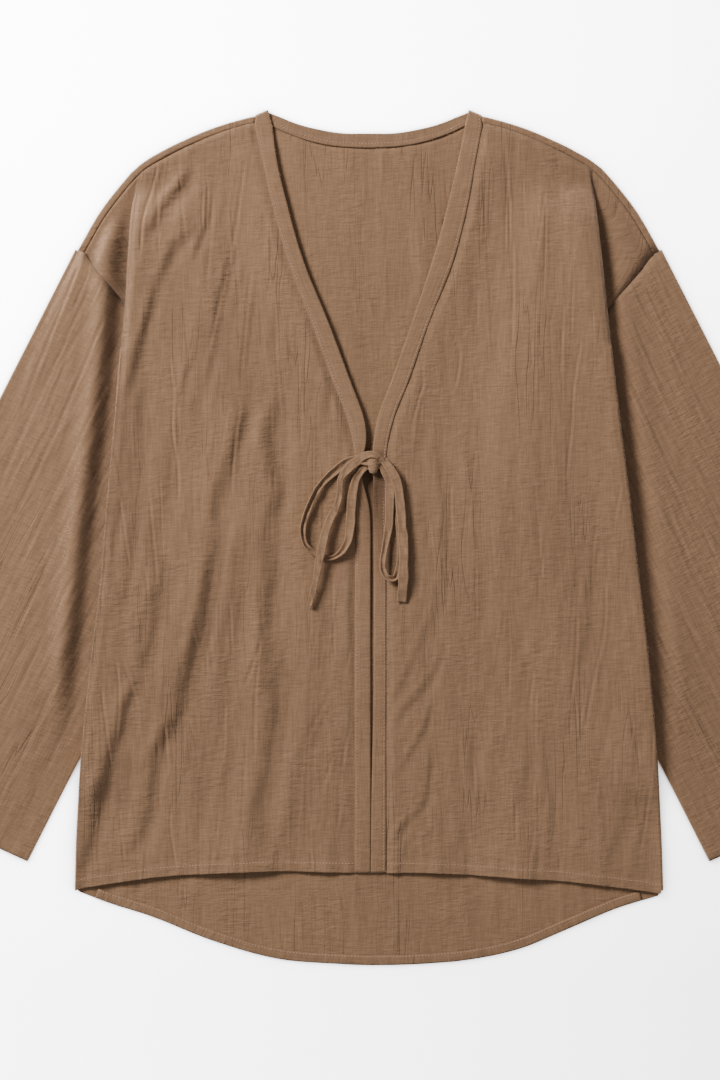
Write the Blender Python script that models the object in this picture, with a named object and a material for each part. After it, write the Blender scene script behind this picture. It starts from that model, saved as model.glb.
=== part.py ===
"""Kimono jacket laid flat, face up, with its sleeves swung in behind the body.

The garment is two layers of cloth, front over back. The body is a stack of the two, and so is each
sleeve. Where a sleeve is swung in, the stack takes one sideways pleat that starts at the shoulder seam:
the pleat's outer fold is the visible edge of the body, and its low layer shows as the small triangle of
the dropped shoulder. Tables are in millimetres: "out" is the distance from the centre line, "up" the
height on the table towards the neck, and left is the side at -X.
"""
import math

import bpy
import numpy as np

MM = 0.001

# Cloth
WALL = 1.0                      # thickness of every panel
GAP = 0.3                       # clearance between pieces at a seam and between layers
BAND_WALL = 1.4                 # bands are folded double
TIE_WALL = 1.2
LAYER = (WALL + GAP) / 2        # height of a layer's middle above or below the middle of the stack
LOW = WALL + GAP / 2            # middle of a stack that lies on the table

# Pleat at the edge of the body
FOLD_R = 1.5                    # bend radius at the middle of the stack
FOLD_RISE = 4 * FOLD_R          # how far the top stack lies above the low one
PLEAT_START = 16.0              # from the shoulder seam to where the fold is fully formed
PLEAT_GROWTH = 0.31             # depth gained for each millimetre down the edge
PLEAT_SPREAD = 6.0              # flat width of the fold's columns at the shoulder seam
SEAM_STOP = 0.93                # share of the low triangle's side at which its rows stop

# Edges without a pleat
SIDE_R = 1.5                    # bend of the front's cloth round the side, below the armhole
SHOULDER_R = 1.3                # bend of the back's cloth over the shoulder
SHOULDER_WRAP = 6.8             # from the outer edge to the shoulder seam on the front
SHOULDER_FADE = 18.0            # the front comes down off the rounded shoulder edge in this width
RAMP = 55.0                     # width over which the body comes down off the sleeve
RAMP_START = 4.0
AIR = 1.8                       # how far the front lies off the back where the body is lifted
AIR_FROM = 0.5                  # lift at which that air is complete
AIR_EDGE = 8.0                  # width over which the air closes towards the body's edge
SIDE_PUFF = 12.0                # width over which the front rises to its rounded side
ACROSS_TURN = 20.0              # the rows turn from along the seam to across the edge in this length
FORMED_AT = 120.0               # degrees of turn at which the mesh follows the fold's two bends
SEAM_CURVED_ROWS = 4            # rows below the shoulder seam that still follow its curve

# Hem
TURN_UP = 9.0
TURN_UP_INSET = 0.6
TURN_UP_REACH = 236.0           # where the turned-up hem comes out from under the front

# Bands
BAND_RISE = 14.0                # length over which a band rises to the shoulder's rounded edge
BAND_CROWN = 0.25
NECK_EASE = 0.04                # share by which the neck's free edge is shorter than its seam

SEAM_COLUMNS = "out up"
SHOULDER_SEAM = (
    (102.2, 372.2),
    (121.0, 367.2),
    (140.0, 361.0),
    (160.7, 352.3),
    (181.4, 342.2),
    (204.0, 327.6),
    (222.8, 306.6),
    (236.3, 288.6),
    (256.0, 254.3),
)
SHOULDER_POINT = 204.0          # "out" of the pleat's tip on the seam

EDGE_COLUMNS = "up left right"
BODY_EDGE = (
    (328.0, 206.6, 201.4),
    (303.8, 211.4, 203.6),
    (256.0, 215.6, 208.8),
    (207.5, 218.4, 213.8),
    (158.0, 223.3, 219.2),
    (104.9, 227.8, 225.5),
    (32.0, 234.5, 234.9),
    (-41.9, 240.9, 243.5),
    (-112.0, 249.3, 251.6),
    (-194.9, 257.7, 258.8),
    (-264.2, 262.6, 263.3),
    (-317.0, 264.2, 265.1),
)

# How high the body's edge lies on the sleeve, and how far in the sleeve reaches under it
LIFT_COLUMNS = "up rise reach"
EDGE_LIFT = (
    (328.0, 6.0, 0.0),
    (171.0, 6.0, 43.0),
    (120.0, 5.6, 60.0),
    (60.0, 5.2, 76.0),
    (7.0, 5.0, 86.0),
    (-60.0, 4.8, 62.0),
    (-130.0, 4.6, 33.0),
    (-196.0, 4.4, 6.0),
    (-214.0, 3.4, 0.0),
    (-236.0, 0.8, 0.0),
    (-252.0, 0.0, 0.0),
)

# Inner side of the bands, across the body as signed distances from the centre line
BAND_COLUMNS = "up left_seam left_free right_seam right_free"
FRONT_BANDS = (
    (368.6, -102.2, -86.4, 102.2, 86.4),
    (340.0, -95.4, -82.6, 96.8, 80.8),
    (300.0, -86.6, -73.2, 89.8, 71.6),
    (250.0, -72.9, -58.9, 77.0, 57.8),
    (190.0, -50.2, -34.6, 53.5, 37.8),
    (140.0, -32.0, -16.0, 36.0, 20.2),
    (104.0, -18.4, -3.0, 22.0, 7.4),
    (84.0, -13.8, 0.7, 17.4, 4.4),
    (40.0, -12.2, 1.8, 15.8, 4.6),
    (-60.0, -12.2, 1.8, 15.8, 4.9),
    (-150.0, -12.4, 1.9, 15.8, 4.6),
    (-230.0, -12.4, 1.9, 15.8, 2.9),
    (-301.9, -12.4, 1.9, 15.8, 2.3),
)

NECK_COLUMNS = "out free seam"
BACK_NECK = (
    (0.0, 363.2, 351.5),
    (24.0, 363.6, 352.4),
    (45.0, 367.0, 355.6),
    (62.0, 371.3, 360.5),
    (78.0, 377.6, 366.8),
    (87.0, 382.6, 371.4),
)
NECK_TIP = (90.0, 384.2)        # the neck's highest point, where the band turns over the shoulder
NECK_TIP_SEAM = (101.0, 379.6)

HEM_COLUMNS = "across front_up back_up"
HEMS = (
    (-264.2, -316.4, -317.0),
    (-240.0, -312.5, -326.5),
    (-194.0, -305.8, -341.5),
    (-141.0, -302.1, -362.5),
    (-82.0, -300.0, -379.0),
    (-30.0, -301.2, -383.6),
    (2.0, -302.0, -384.8),
    (50.0, -301.5, -383.6),
    (86.0, -303.0, -380.5),
    (137.0, -306.4, -369.8),
    (180.0, -309.5, -352.0),
    (224.0, -314.6, -333.5),
    (265.1, -320.4, -321.0),
)

# Soft folds of the fronts, each a long rounded rise from one end to the other
FOLD_BAND_FADE = 14.0           # the folds flatten this near to the bands
FOLD_EDGE_FADE = 20.0           # and this near to the body's edge
FOLD_COLUMNS = "x_top y_top x_low y_low half_width rise"
FRONT_FOLDS = (
    (-178.0, 318.0, -196.0, 150.0, 17.0, 2.6),
    (-132.0, 330.0, -160.0, 60.0, 20.0, 2.2),
    (-100.0, 240.0, -112.0, -60.0, 18.0, 1.6),
    (-170.0, 20.0, -188.0, -210.0, 20.0, 2.0),
    (-62.0, 90.0, -78.0, -190.0, 17.0, 1.8),
    (-130.0, -60.0, -140.0, -290.0, 18.0, 2.2),
    (-36.0, -110.0, -52.0, -292.0, 15.0, 1.8),
    (-212.0, -120.0, -222.0, -300.0, 16.0, 1.6),
    (142.0, 322.0, 158.0, 110.0, 20.0, 1.6),
    (96.0, 270.0, 112.0, 20.0, 18.0, 1.4),
    (176.0, 170.0, 196.0, -70.0, 19.0, 1.8),
    (66.0, 60.0, 82.0, -170.0, 17.0, 1.6),
    (134.0, -20.0, 148.0, -280.0, 19.0, 2.2),
    (44.0, -140.0, 50.0, -294.0, 15.0, 1.6),
    (206.0, -110.0, 222.0, -296.0, 17.0, 1.8),
)

# Sleeve, as a flat tube: its cut line at the armhole, its hidden corner, and its cuff
SLEEVE_TOP = (265.1, 256.0)     # outer edge at the armhole seam
SLEEVE_SEAM_END = (181.5, 165.2)
SLEEVE_HIDDEN = (155.0, 8.0)
SLEEVE_CUFF_IN = (306.4, -291.2)
SLEEVE_CUFF_OUT = (494.5, -194.6)
SLEEVE_OUTER_R = 1.3
SLEEVE_INNER_R = 0.9
CUFF_BOW = 3.0                  # how far the middle of the cuff stands out of a straight line

# Ribbons of the bow: middle line, height above the front's cloth, roll about it in degrees, and width
RIBBON_COLUMNS = "x y z roll width"
LOOP_LEFT = (
    (-1.1, 71.0, 3.0, 2.0, 6.4),
    (-9.0, 70.6, 2.5, 6.0, 7.6),
    (-18.2, 68.0, 2.6, 14.0, 8.2),
    (-30.6, 59.0, 3.6, 30.0, 8.6),
    (-41.9, 48.5, 4.4, 44.0, 8.8),
    (-54.2, 25.9, 4.8, 52.0, 8.8),
    (-59.3, 4.0, 4.8, 56.0, 8.4),
    (-56.0, -7.6, 4.6, 54.0, 7.6),
    (-48.6, -13.8, 3.4, 42.0, 5.8),
    (-40.7, -17.6, 3.1, 40.0, 5.2),
    (-33.0, -18.4, 3.3, 42.0, 6.0),
    (-25.0, -14.0, 4.2, 48.0, 7.6),
    (-18.8, -4.0, 3.6, 30.0, 8.4),
    (-16.5, 9.0, 2.6, 14.0, 9.0),
    (-15.6, 26.0, 2.3, 8.0, 9.0),
    (-13.8, 42.0, 2.3, 4.0, 8.6),
    (-10.4, 54.0, 2.4, 4.0, 7.4),
    (-2.6, 63.0, 2.6, 2.0, 5.8),
)
TAIL_LEFT = (
    (-3.0, 73.0, 4.9, 0.0, 6.6),
    (-10.4, 68.4, 4.9, 0.0, 8.4),
    (-19.4, 60.4, 5.3, 0.0, 8.2),
    (-24.8, 52.8, 5.3, 0.0, 6.2),
    (-25.8, 42.8, 5.0, 0.0, 5.6),
    (-26.8, 33.8, 5.0, 0.0, 6.2),
    (-30.6, 23.8, 5.2, 0.0, 7.0),
    (-35.1, 14.8, 5.6, 0.0, 7.6),
    (-38.6, 4.8, 6.2, 0.0, 8.0),
    (-41.6, -8.6, 6.9, 0.0, 8.2),
    (-44.4, -22.0, 6.6, 0.0, 8.0),
    (-47.4, -38.0, 3.4, 0.0, 7.2),
    (-50.6, -52.0, 1.9, 0.0, 6.2),
    (-53.0, -62.0, 1.7, 0.0, 4.6),
)
LOOP_RIGHT = (
    (11.2, 64.0, 4.0, 0.0, 5.4),
    (14.6, 58.0, 3.9, 0.0, 7.0),
    (19.0, 50.0, 3.7, 0.0, 8.2),
    (19.2, 40.5, 3.5, 0.0, 8.6),
    (18.8, 27.0, 3.4, 0.0, 9.0),
    (18.4, 12.0, 3.1, 6.0, 9.0),
    (17.0, -1.0, 3.2, 16.0, 8.8),
    (15.2, -12.0, 3.8, 30.0, 8.4),
    (13.4, -22.0, 4.4, 44.0, 8.0),
    (13.6, -30.0, 4.6, 50.0, 7.6),
    (17.4, -36.4, 4.4, 52.0, 7.0),
    (22.6, -36.4, 3.2, 34.0, 6.0),
    (26.8, -28.0, 2.2, 6.0, 7.2),
    (29.0, -12.0, 1.9, 0.0, 8.4),
    (28.2, 9.0, 1.9, 0.0, 8.6),
    (25.8, 31.0, 1.9, 0.0, 8.6),
    (21.4, 49.0, 1.9, 0.0, 8.0),
    (14.6, 62.0, 2.1, 0.0, 6.4),
)
TAIL_RIGHT = (
    (10.8, 69.6, 5.7, 0.0, 7.0),
    (19.4, 61.0, 5.6, 0.0, 8.2),
    (25.0, 50.6, 5.5, 0.0, 8.4),
    (27.6, 38.0, 5.3, 0.0, 8.4),
    (28.8, 25.0, 4.3, 0.0, 8.6),
    (29.8, 12.0, 3.7, 0.0, 8.8),
    (31.4, -8.0, 3.8, 0.0, 9.2),
    (31.3, -26.0, 5.2, 0.0, 9.0),
    (31.1, -38.0, 5.0, 0.0, 9.4),
    (30.6, -46.0, 3.2, 0.0, 9.8),
    (29.8, -58.0, 1.8, 0.0, 9.8),
)
KNOT_CENTRE = (4.2, 67.5, 5.8)
KNOT_SIZE = (11.0, 19.0, 5.6)

# Mesh density
FRONT_COLUMNS = 15
COLUMN_CROWDING = 1.35          # crowds the front's columns towards the edge of the body
BACK_SIDE_COLUMNS = 9
NECK_STATIONS = (0.0, 20.0, 38.0, 54.0, 68.0, 80.0, 91.0)
TURN_STEPS = 4
LOW_COLUMNS = 3
PLEAT_ROWS = (0.0, 5.4, 10.8, 16.2, 24.0, 40.0, 64.0, 92.0, 124.0, 156.0)
BODY_ROWS = 13
SLEEVE_ROWS = 10
SLEEVE_SHARES = (0.0, 0.18, 0.36, 0.54, 0.72, 0.9, 1.0)
MOUTH_CORNER = 5                # the share that meets the end of the shoulder seam
SLEEVE_PUFF = 8                 # a sleeve rises to its rounded sides in an eighth of its width
LOOP_STEPS = 40
TAIL_STEPS = 22
KNOT_RINGS = 7
KNOT_SEGMENTS = 12
KNOT_WAIST = 0.16

COLOURS = {
    "cloth": (0.27, 0.165, 0.105),
    "cloth_inside": (0.25, 0.15, 0.098),
    "band": (0.28, 0.17, 0.11),
    "tie": (0.29, 0.18, 0.115),
}


def columns(names, rows):
    """One array for each named column of a table."""
    values = np.array(rows, dtype=float)
    order = np.argsort(values[:, 0])
    return dict(zip(names.split(), values[order].T))


def smooth(at, xs, ys):
    """A smooth line through a table's points, level with its mean slopes at each."""
    slope = np.gradient(ys, xs)
    low = np.clip(np.searchsorted(xs, at, side="right") - 1, 0, len(xs) - 2)
    span = xs[low + 1] - xs[low]
    t = np.clip((at - xs[low]) / span, 0, 1)
    return ((2 * t**3 - 3 * t**2 + 1) * ys[low] + (t**3 - 2 * t**2 + t) * span * slope[low]
            + (3 * t**2 - 2 * t**3) * ys[low + 1] + (t**3 - t**2) * span * slope[low + 1])


def ease(t):
    """Rises smoothly from 0 to 1."""
    t = np.clip(t, 0, 1)
    return t * t * (3 - 2 * t)


def unit(vectors):
    return vectors / np.linalg.norm(vectors, axis=-1, keepdims=True)


SEAM = columns(SEAM_COLUMNS, SHOULDER_SEAM)
EDGE = columns(EDGE_COLUMNS, BODY_EDGE)
LIFT = columns(LIFT_COLUMNS, EDGE_LIFT)
BANDS = columns(BAND_COLUMNS, FRONT_BANDS)
NECK = columns(NECK_COLUMNS, BACK_NECK)
HEM = columns(HEM_COLUMNS, HEMS)
FOLDS = columns(FOLD_COLUMNS, FRONT_FOLDS)
SIDES = {"left": -1, "right": 1}


def seam_up(out):
    return smooth(out, SEAM["out"], SEAM["up"])


def edge_out(up, side):
    return smooth(up, EDGE["up"], EDGE[side])


def tip(side):
    """The pleat's tip, where the body's edge meets the shoulder seam."""
    out = SHOULDER_POINT if side == "left" else SHOULDER_POINT - 4.0
    return np.array([out, seam_up(out)])


def row_places(side):
    """How far down the body each row lies, from 0 at the shoulder seam to 1 at the hem corner."""
    top = tip(side)[1]
    length = top - EDGE["up"][0]
    pleat = np.array(PLEAT_ROWS) / length
    rest = np.linspace(pleat[-1], 1, BODY_ROWS + 1)[1:]
    return np.concatenate([pleat, rest])


def edge_line(side, places):
    """Points of the body's edge, and the direction out across it, for each row."""
    top = tip(side)
    up = top[1] + (EDGE["up"][0] - top[1]) * places
    out = edge_out(up, side)
    out = out + (top[0] - out) * (1 - ease((top[1] - up) / PLEAT_START))
    points = np.stack([out, up], axis=1)
    along = unit(np.gradient(points, axis=0))
    across = np.stack([-along[:, 1], along[:, 0]], axis=1)
    across[across[:, 0] < 0] *= -1
    down = np.linalg.norm(points - top, axis=1)
    seam_way = unit(np.array([6.0, seam_up(top[0] + 3) - seam_up(top[0] - 3)]))
    turned = ease(down / ACROSS_TURN)[:, None]
    return points, unit((1 - turned) * seam_way + turned * across), down


def pleat_shape(down):
    """Rise and depth of the pleat at each distance down the edge."""
    rise = FOLD_RISE * ease(down / PLEAT_START)
    depth = -PLEAT_SPREAD * (1 - ease(down / PLEAT_START)) + PLEAT_GROWTH * np.maximum(0, down - PLEAT_START)
    return rise, depth


def pleat_path(rise, depth):
    """Cross-section of the stack's middle through both folds.

    The line runs over a first circle, straight to a second and under it. It gives the distance out from
    the first circle's middle, the height above the low stack, and the heading, at each column.
    """
    across = 2 * FOLD_R - depth
    drop = 2 * FOLD_R - rise
    length = math.hypot(across, drop)
    heading = math.atan2(drop, across) - math.asin(min(1.0, 2 * FOLD_R / length))
    straight = math.sqrt(max(0.0, length**2 - 4 * FOLD_R**2))
    arc = -heading * FOLD_R
    total = 2 * arc + straight
    steps = 2 * TURN_STEPS + 1
    by_fold = np.concatenate([np.linspace(0, arc, TURN_STEPS + 1),
                              np.linspace(arc + straight, total, TURN_STEPS + 1)])
    formed = ease(-heading / math.radians(FORMED_AT))
    s = (1 - formed) * np.linspace(0, total, steps + 1) + formed * by_fold
    angle = np.where(s < arc, -s / FOLD_R, np.where(s > arc + straight, -(total - s) / FOLD_R, heading))
    h = np.where(s <= arc, FOLD_R * np.sin(-angle), 0.0)
    z = np.where(s <= arc, rise - FOLD_R + FOLD_R * np.cos(angle), 0.0)
    leave_h = FOLD_R * math.sin(-heading)
    leave_z = rise - FOLD_R + FOLD_R * math.cos(heading)
    middle = (s > arc) & (s <= arc + straight)
    h = np.where(middle, leave_h + (s - arc) * math.cos(heading), h)
    z = np.where(middle, leave_z + (s - arc) * math.sin(heading), z)
    last = s > arc + straight
    h = np.where(last, across + FOLD_R * np.sin(angle), h)
    z = np.where(last, FOLD_R - FOLD_R * np.cos(angle), z)
    return h, z, angle


def lift(side, out, up):
    """How far the body's stack lies above the table over the sleeve and the pleat."""
    rise = np.interp(up, LIFT["up"], LIFT["rise"])
    reach = np.interp(up, LIFT["up"], LIFT["reach"])
    top = tip(side)
    down = np.maximum(0, top[1] - up)
    rise = np.where(up > LIFT["up"][-2], FOLD_RISE * ease(down / PLEAT_START), rise)
    inward = edge_out(up, side) - out
    return rise * ease(1 - (inward - reach - RAMP_START) / RAMP)


def fold_relief(x, y):
    """Rise of the front's soft folds, fading at their ends and sides."""
    total = np.zeros_like(x)
    for row in range(len(FOLDS["x_top"])):
        start = np.array([FOLDS["x_top"][row], FOLDS["y_top"][row]])
        end = np.array([FOLDS["x_low"][row], FOLDS["y_low"][row]])
        way = end - start
        t = np.clip(((x - start[0]) * way[0] + (y - start[1]) * way[1]) / (way @ way), 0, 1)
        off = np.hypot(x - start[0] - t * way[0], y - start[1] - t * way[1])
        near = np.clip(1 - (off / FOLDS["half_width"][row])**2, 0, None)**2
        total = total + FOLDS["rise"][row] * near * ease(4 * t + 0.2) * ease(4 * (1 - t) + 0.3)
    return total


def body_side(side, layer):
    """One side of the body's front (layer 1) or back (layer -1).

    Gives the middle of the layer, its normal and which cells are cloth, with columns from the inner
    boundary out to the body's edge, through the pleat and on to the armhole seam.
    """
    sign = SIDES[side]
    places = row_places(side)
    edge, across, down = edge_line(side, places)
    pleated = len(PLEAT_ROWS)
    rise, depth = pleat_shape(down)

    fold_in = FOLD_R + LAYER + WALL / 2
    side_in = SIDE_R + WALL / 2 + (0.0 if layer > 0 else 2 * GAP)
    inset = np.where(np.arange(len(places)) < pleated, fold_in, side_in)
    flat_end = edge - inset[:, None] * across

    # the inner boundary: the band's seam on a front, the centre line on the back
    band_seam = BANDS[side + "_seam"] * sign
    hem_up = HEM["front_up" if layer > 0 else "back_up"]
    if layer > 0:
        share = 1 - (1 - np.linspace(0, 1, FRONT_COLUMNS + 1))**COLUMN_CROWDING
        top_out = SEAM["out"][0] + GAP + (flat_end[0, 0] - SEAM["out"][0] - GAP) * share
    else:
        side_out = np.linspace(SEAM["out"][0], flat_end[0, 0], BACK_SIDE_COLUMNS + 1)
        top_out = np.concatenate([NECK_STATIONS, side_out])
        share = top_out / flat_end[0, 0]
    top_up = seam_up(np.maximum(top_out, SEAM["out"][0]))
    if layer < 0:
        neck_up = smooth(top_out, NECK["out"], NECK["seam"]) - GAP
        top_up = np.where(top_out < SEAM["out"][0], np.minimum(neck_up, seam_up(SEAM["out"][0])), top_up)
    low_inner = band_seam[0] if layer > 0 else 0.0
    low_out = low_inner + (flat_end[-1, 0] - low_inner) * share
    low_up = smooth(low_out * sign, HEM["across"], hem_up)
    low_up[-1] = flat_end[-1, 1]

    up = top_up[None, :] + (low_up - top_up)[None, :] * places[:, None]
    blend = ease(share)[None, :] * np.ones_like(up)
    along_edge = flat_end[:, 1][:, None]
    up = up * (1 - blend**4) + (along_edge + (up - up[:, -1:])) * blend**4
    inner = (smooth(up, BANDS["up"], band_seam) + GAP) if layer > 0 else np.zeros_like(up)
    out = inner + (flat_end[:, 0][:, None] - inner) * share[None, :]
    from_seam = seam_up(np.clip(out, SEAM["out"][0], tip(side)[0])) - up
    shoulder = np.clip(1 - from_seam / SHOULDER_FADE, 0, 1)**2
    height = LOW + lift(side, out, up) + layer * LAYER
    height[:pleated, -1] = LOW + rise[:pleated] + layer * LAYER
    if layer > 0:
        inward = edge_out(up, side) - side_in - out
        height = height + (2 * SHOULDER_R - 2 * LAYER) * shoulder
        height = height + AIR * ease(lift(side, out, up) / AIR_FROM) * ease(inward / AIR_EDGE)
        flat_parts = ease((out - inner) / FOLD_BAND_FADE) * ease((edge_out(up, side) - out) / FOLD_EDGE_FADE)
        height = height + fold_relief(out * sign, up) * flat_parts
        below = (np.arange(len(places)) >= pleated)[:, None]
        puff = np.clip(1 - inward / SIDE_PUFF, 0, 1)**2
        height = height + below * (2 * SIDE_R - 2 * LAYER) * puff
    rows, flat = out.shape
    total = flat + 2 * TURN_STEPS + 1 + LOW_COLUMNS
    middle = np.zeros((rows, total, 3))
    normal = np.zeros((rows, total, 3))
    normal[..., 2] = 1
    middle[:, :flat] = np.stack([out, up, height], axis=2)

    # the two folds of the pleat, then the low triangle out to the armhole seam
    seam_top = np.array([SEAM["out"][-1], SEAM["up"][-1]])
    seam_low = np.array(SLEEVE_SEAM_END)
    last = down[pleated - 1]
    for row in range(pleated):
        h, z, angle = pleat_path(rise[row], depth[row])
        plan = flat_end[row] + h[:, None] * across[row]
        turned = np.stack([-np.sin(angle)[:, None] * across[row][0], -np.sin(angle)[:, None] * across[row][1],
                           np.cos(angle)[:, None]], axis=2)[:, 0]
        base = np.column_stack([plan, LOW + z])
        middle[row, flat:flat + len(h) - 1] = (base + layer * LAYER * turned)[1:]
        normal[row, flat:flat + len(h) - 1] = turned[1:]
        start = plan[-1]
        reached = SEAM_STOP * down[row] / last
        end = seam_top + reached * (seam_low - seam_top) - np.array([GAP / 2, -GAP / 2])
        t = np.linspace(0, 1, LOW_COLUMNS + 1)[1:]
        low = start + t[:, None] * (end - start)
        if row < SEAM_CURVED_ROWS:
            curved = seam_up(low[:, 0]) - (start[1] + t * (end[1] - start[1]))
            low[:, 1] += curved * (1 - row / SEAM_CURVED_ROWS) * (t < 1)
        middle[row, -LOW_COLUMNS:] = np.column_stack([low, np.full(LOW_COLUMNS, LOW + layer * LAYER)])
        if layer > 0:
            bump = (2 * SHOULDER_R - 2 * LAYER) * max(0.0, 1 - down[row] / SHOULDER_FADE)**2
            middle[row, flat:, 2] += bump

    # below the pleat the front's cloth goes round the side and meets the back underneath
    if layer > 0:
        angles = np.linspace(0, math.pi, TURN_STEPS + 1)[1:]
        for row in range(pleated, rows):
            centre = height[row, -1] - SIDE_R
            for step, turn in enumerate(angles):
                plan = flat_end[row] + SIDE_R * math.sin(turn) * across[row]
                middle[row, flat + step] = (*plan, centre + SIDE_R * math.cos(turn))
                normal[row, flat + step] = (*(math.sin(turn) * across[row]), math.cos(turn))
    cells = np.zeros((rows - 1, total - 1), dtype=bool)
    cells[:, :flat - 1] = True
    cells[:pleated - 1] = True
    if layer > 0:
        cells[:, :flat - 1 + TURN_STEPS] = True
    middle[..., 0] *= sign
    normal[..., 0] *= sign
    return middle, normal, cells


def shoulder_rows(middle, normal, cells, covered):
    """Add the back's wrap over the shoulder before its first row: under, round, and on to the seam."""
    first = middle[0]
    way = unit(np.gradient(first[:, :2], axis=0))
    outward = np.stack([-way[:, 1], way[:, 0]], axis=1)
    outward[outward[:, 1] < 0] *= -1
    bend = SHOULDER_WRAP - SHOULDER_R - WALL / 2
    extra, extra_normal = [], []
    plan = first[:, :2] + GAP * outward
    top = WALL / 2 + 2 * SHOULDER_R
    extra.append(np.column_stack([plan, np.full(len(plan), top)]))
    extra_normal.append((0.0, -1.0))
    for turn in np.linspace(0, math.pi, TURN_STEPS + 1):
        reach = bend + SHOULDER_R * math.sin(turn)
        z = WALL / 2 + SHOULDER_R + SHOULDER_R * math.cos(turn)
        extra.append(np.column_stack([first[:, :2] + reach * outward, np.full(len(plan), z)]))
        extra_normal.append((-math.sin(turn), -math.cos(turn)))
    normals = [np.column_stack([side * outward, np.full(len(plan), up)]) for side, up in extra_normal]
    middle = np.concatenate([np.array(extra), middle])
    normal = np.concatenate([np.array(normals), normal])
    wrap = np.tile(covered, (len(extra), 1))
    return middle, normal, np.concatenate([wrap, cells])


def shell(name, middle, normal, cells, slot, wall=WALL):
    """A wall of cloth about a grid of middle points: both faces, and edges wherever the cloth ends."""
    outer = middle + normal * wall / 2
    inner = middle - normal * wall / 2
    rows, cols = middle.shape[:2]
    points = np.concatenate([outer.reshape(-1, 3), inner.reshape(-1, 3)]) * MM
    index = np.arange(rows * cols).reshape(rows, cols)
    under = index + rows * cols
    faces = []
    open_edges = {}
    for row, col in zip(*np.nonzero(cells)):
        right = (col + 1) % cols
        near, far = index[row, col], index[row + 1, right]
        for ring in ((near, index[row + 1, col], far), (near, far, index[row, right])):
            faces.append(ring)
            faces.append(tuple(int(corner) + rows * cols for corner in reversed(ring)))
            for a, b in zip(ring, ring[1:] + ring[:1]):
                if (b, a) in open_edges:
                    del open_edges[b, a]
                else:
                    open_edges[a, b] = True
    for a, b in open_edges:
        faces.append((b, a, a + rows * cols, b + rows * cols))
    used = sorted({int(corner) for face in faces for corner in face})
    place = {corner: spot for spot, corner in enumerate(used)}
    mesh = bpy.data.meshes.new(name)
    mesh.from_pydata(points[used].tolist(), [], [[place[int(corner)] for corner in face] for face in faces])
    mesh.validate()
    mesh.update()
    make_outward(mesh)
    thing = bpy.data.objects.new(name, mesh)
    bpy.context.collection.objects.link(thing)
    thing.data.materials.append(material(slot))
    mesh.shade_smooth()
    mesh.set_sharp_from_angle(angle=math.radians(40))
    return thing


def make_outward(mesh):
    """Turn a closed mesh inside out if its faces enclose a negative volume."""
    mesh.calc_loop_triangles()
    points = np.array([vertex.co for vertex in mesh.vertices])
    corners = np.array([triangle.vertices for triangle in mesh.loop_triangles])
    a, b, c = points[corners[:, 0]], points[corners[:, 1]], points[corners[:, 2]]
    if np.sum(np.cross(a, b) * c) < 0:
        mesh.flip_normals()


def material(slot):
    """Matt cloth in the slot's colour."""
    made = bpy.data.materials.get(slot)
    if made:
        return made
    made = bpy.data.materials.new(slot)
    made.use_nodes = True
    shader = made.node_tree.nodes["Principled BSDF"]
    shader.inputs["Base Color"].default_value = (*COLOURS[slot], 1)
    shader.inputs["Roughness"].default_value = 0.85
    shader.inputs["Metallic"].default_value = 0.0
    return made


def fronts():
    for side, sign in SIDES.items():
        middle, normal, cells = body_side(side, 1)
        shell("front_" + side, middle[:, ::sign], normal[:, ::sign], cells[:, ::sign], "cloth")


def back():
    """The back panel: both sides joined at the centre line, with the wrap over each shoulder."""
    halves = [body_side(side, -1) for side in SIDES]
    left, right = halves
    middle = np.concatenate([left[0][:, ::-1], right[0][:, 1:]], axis=1)
    normal = np.concatenate([left[1][:, ::-1], right[1][:, 1:]], axis=1)
    cells = np.concatenate([left[2][:, ::-1], right[2]], axis=1)
    beyond_neck = np.abs(middle[0, :, 0]) >= SEAM["out"][0]
    covered = beyond_neck[1:] & beyond_neck[:-1]
    middle, normal, cells = shoulder_rows(middle, normal, cells, covered)
    shell("back_panel", middle, normal, cells, "cloth_inside")


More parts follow.
